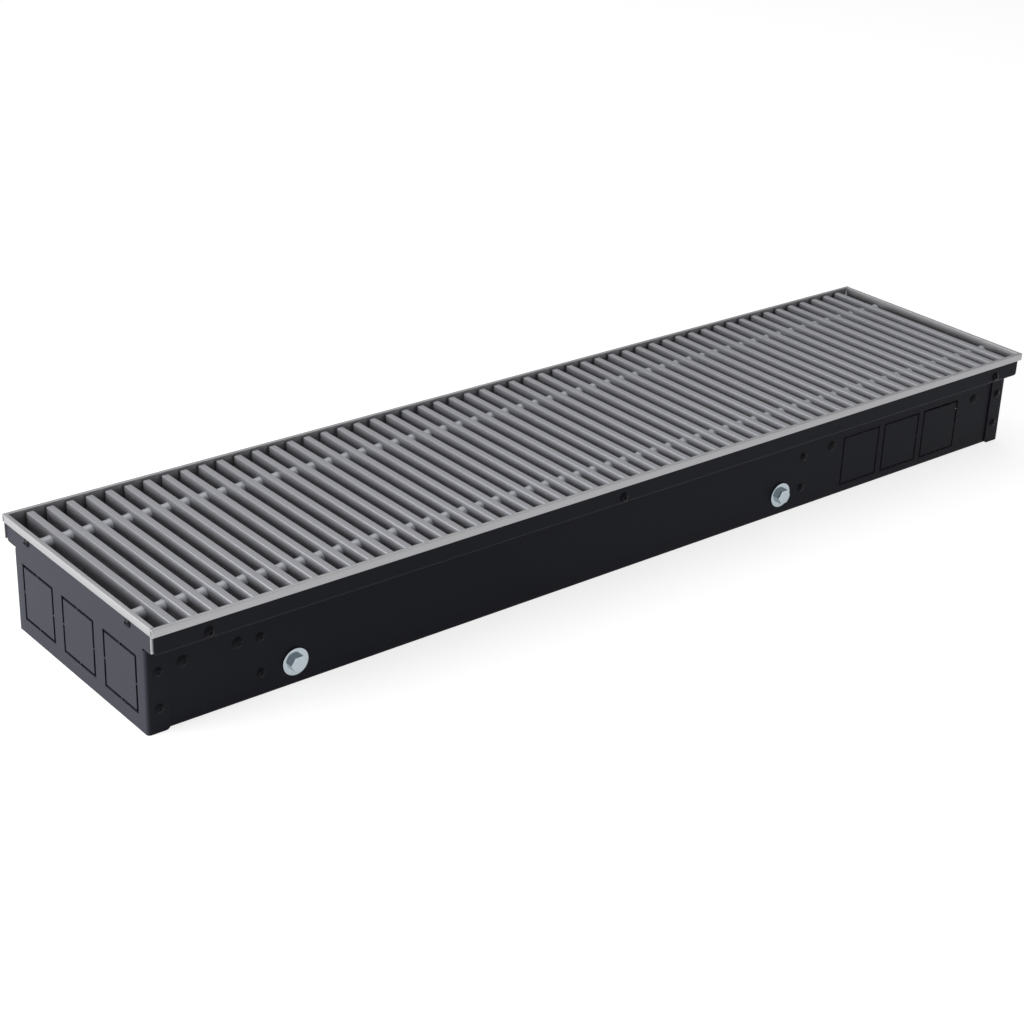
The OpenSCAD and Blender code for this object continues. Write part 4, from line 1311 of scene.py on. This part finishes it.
def pipe_union(length):
    """Socket, hexagon and inside thread as one closed section going out, in and back."""
    hexa = hexagon(2 * UNION_R, HEX_STEPS)
    drop = np.maximum(hexa - UNION_R, 0) * 0.5
    foot = length - UNION_HEX_H
    rows = [(UNION_BORE, 0), (UNION_R - 0.8, 0), (UNION_R, 0.8), (UNION_R, foot - 0.2)]
    rows += [(hexa, foot + drop), (hexa, length - drop), (UNION_R - 0.4, length), (10.4, length)]
    z = np.linspace(length - 0.8, length - 13.5, 46)
    turn = np.arange(HEX_STEPS) / HEX_STEPS
    wave = 2 * abs((z[:, None] / UNION_PITCH + turn) % 1 - 0.5)
    rows += zip(UNION_CORE + 0.6 * wave, z)
    rows += [(UNION_CORE, length - 14), (6.7, length - 14), (6.7, 12), (UNION_BORE, 12)]
    return turned(rows, HEX_STEPS, ring=True)


for side, node in ((-1, "supply_union"), (1, "return_union")):
    low, high = measured(node)
    part = lying(pipe_union(high[0] - low[0]), low[0], side * TUBE_Y, TUBE_ZS[0])
    show(node.replace("union", "connector"), part, brass, [node])

# %% [markdown]
# ## Floor, light and backdrop
# The photograph has a plain white ground. The floor and the sky look white to the
# camera and in reflections, while they light the heater only softly. The floor is
# part diffuse, so the heater's shadow still falls on it. One broad lamp stands
# above, and one at the left lights the end plate as in the photograph.

# %% Floor and sky


def seen(f):
    """1 for rays that look at or reflect a surface, 0 for rays that gather light."""
    ray = f.node("ShaderNodeLightPath", {}, {}, "Is Camera Ray")
    either = ray.math("MAXIMUM", ray, ray.also("Is Glossy Ray"))
    return ray.math("MAXIMUM", either, ray.also("Is Transmission Ray"))


FLOOR_GLOW = 0.8
SKY_LEVEL = 0.16
SKY_SEEN = 0.5
FLOOR_REACH = 12.0
WHITE = colour(1, 1, 1)
f = Finish(bpy.data.materials.new("white_floor"))
glow = f.node("ShaderNodeEmission", {}, {"Color": WHITE, "Strength": FLOOR_GLOW})
matt = f.node("ShaderNodeBsdfDiffuse", {}, {"Color": colour(0.5, 0.5, 0.5)})
white = f.node("ShaderNodeAddShader", {}, {0: matt, 1: glow})
dull = f.node("ShaderNodeBsdfDiffuse", {}, {"Color": colour(0.4, 0.4, 0.4)})
mixed = f.node("ShaderNodeMixShader", {}, {0: seen(f), 1: dull, 2: white})
f.node("ShaderNodeOutputMaterial", {}, {"Surface": mixed})
floor_mesh = bpy.data.meshes.new("floor")
corners = np.array([(-1, -1, 0), (1, -1, 0), (1, 1, 0), (-1, 1, 0)]) * FLOOR_REACH
floor_mesh.from_pydata(corners.tolist(), [], [(0, 1, 2, 3)])
floor_mesh.materials.append(f.material)
floor = bpy.data.objects.new("floor", floor_mesh)
bpy.context.scene.collection.objects.link(floor)

sky = Finish(bpy.data.worlds.new("sky"))
bpy.context.scene.world = sky.material
soft = {"Color": colour(0.97, 0.98, 1.0), "Strength": SKY_LEVEL}
light = sky.node("ShaderNodeBackground", {}, soft)
white = sky.node("ShaderNodeBackground", {}, {"Color": WHITE, "Strength": SKY_SEEN})
mixed = sky.node("ShaderNodeMixShader", {}, {0: seen(sky), 1: light, 2: white})
sky.node("ShaderNodeOutputWorld", {}, {"Surface": mixed})
print("floor glow", FLOOR_GLOW, "sky level", SKY_LEVEL)

# %% Lamps


def lamp(name, place, target, size, power):
    """Square soft box at a place, facing a target."""
    data = bpy.data.lights.new(name, "AREA")
    data.size = size
    data.energy = power
    box = bpy.data.objects.new(name, data)
    aim = (Vector(target) - Vector(place)).to_track_quat("-Z", "Y")
    box.matrix_world = Matrix.Translation(place) @ aim.to_matrix().to_4x4()
    bpy.context.scene.collection.objects.link(box)


lamp("top_soft_box", (0.2, 0.9, 2.6), (0, 0, 0), 3.0, 27)
lamp("left_soft_box", (-2.3, 0.5, 0.55), (-0.4, 0, 0.05), 1.5, 66)
print("lamps in watts:", [data.energy for data in bpy.data.lights])
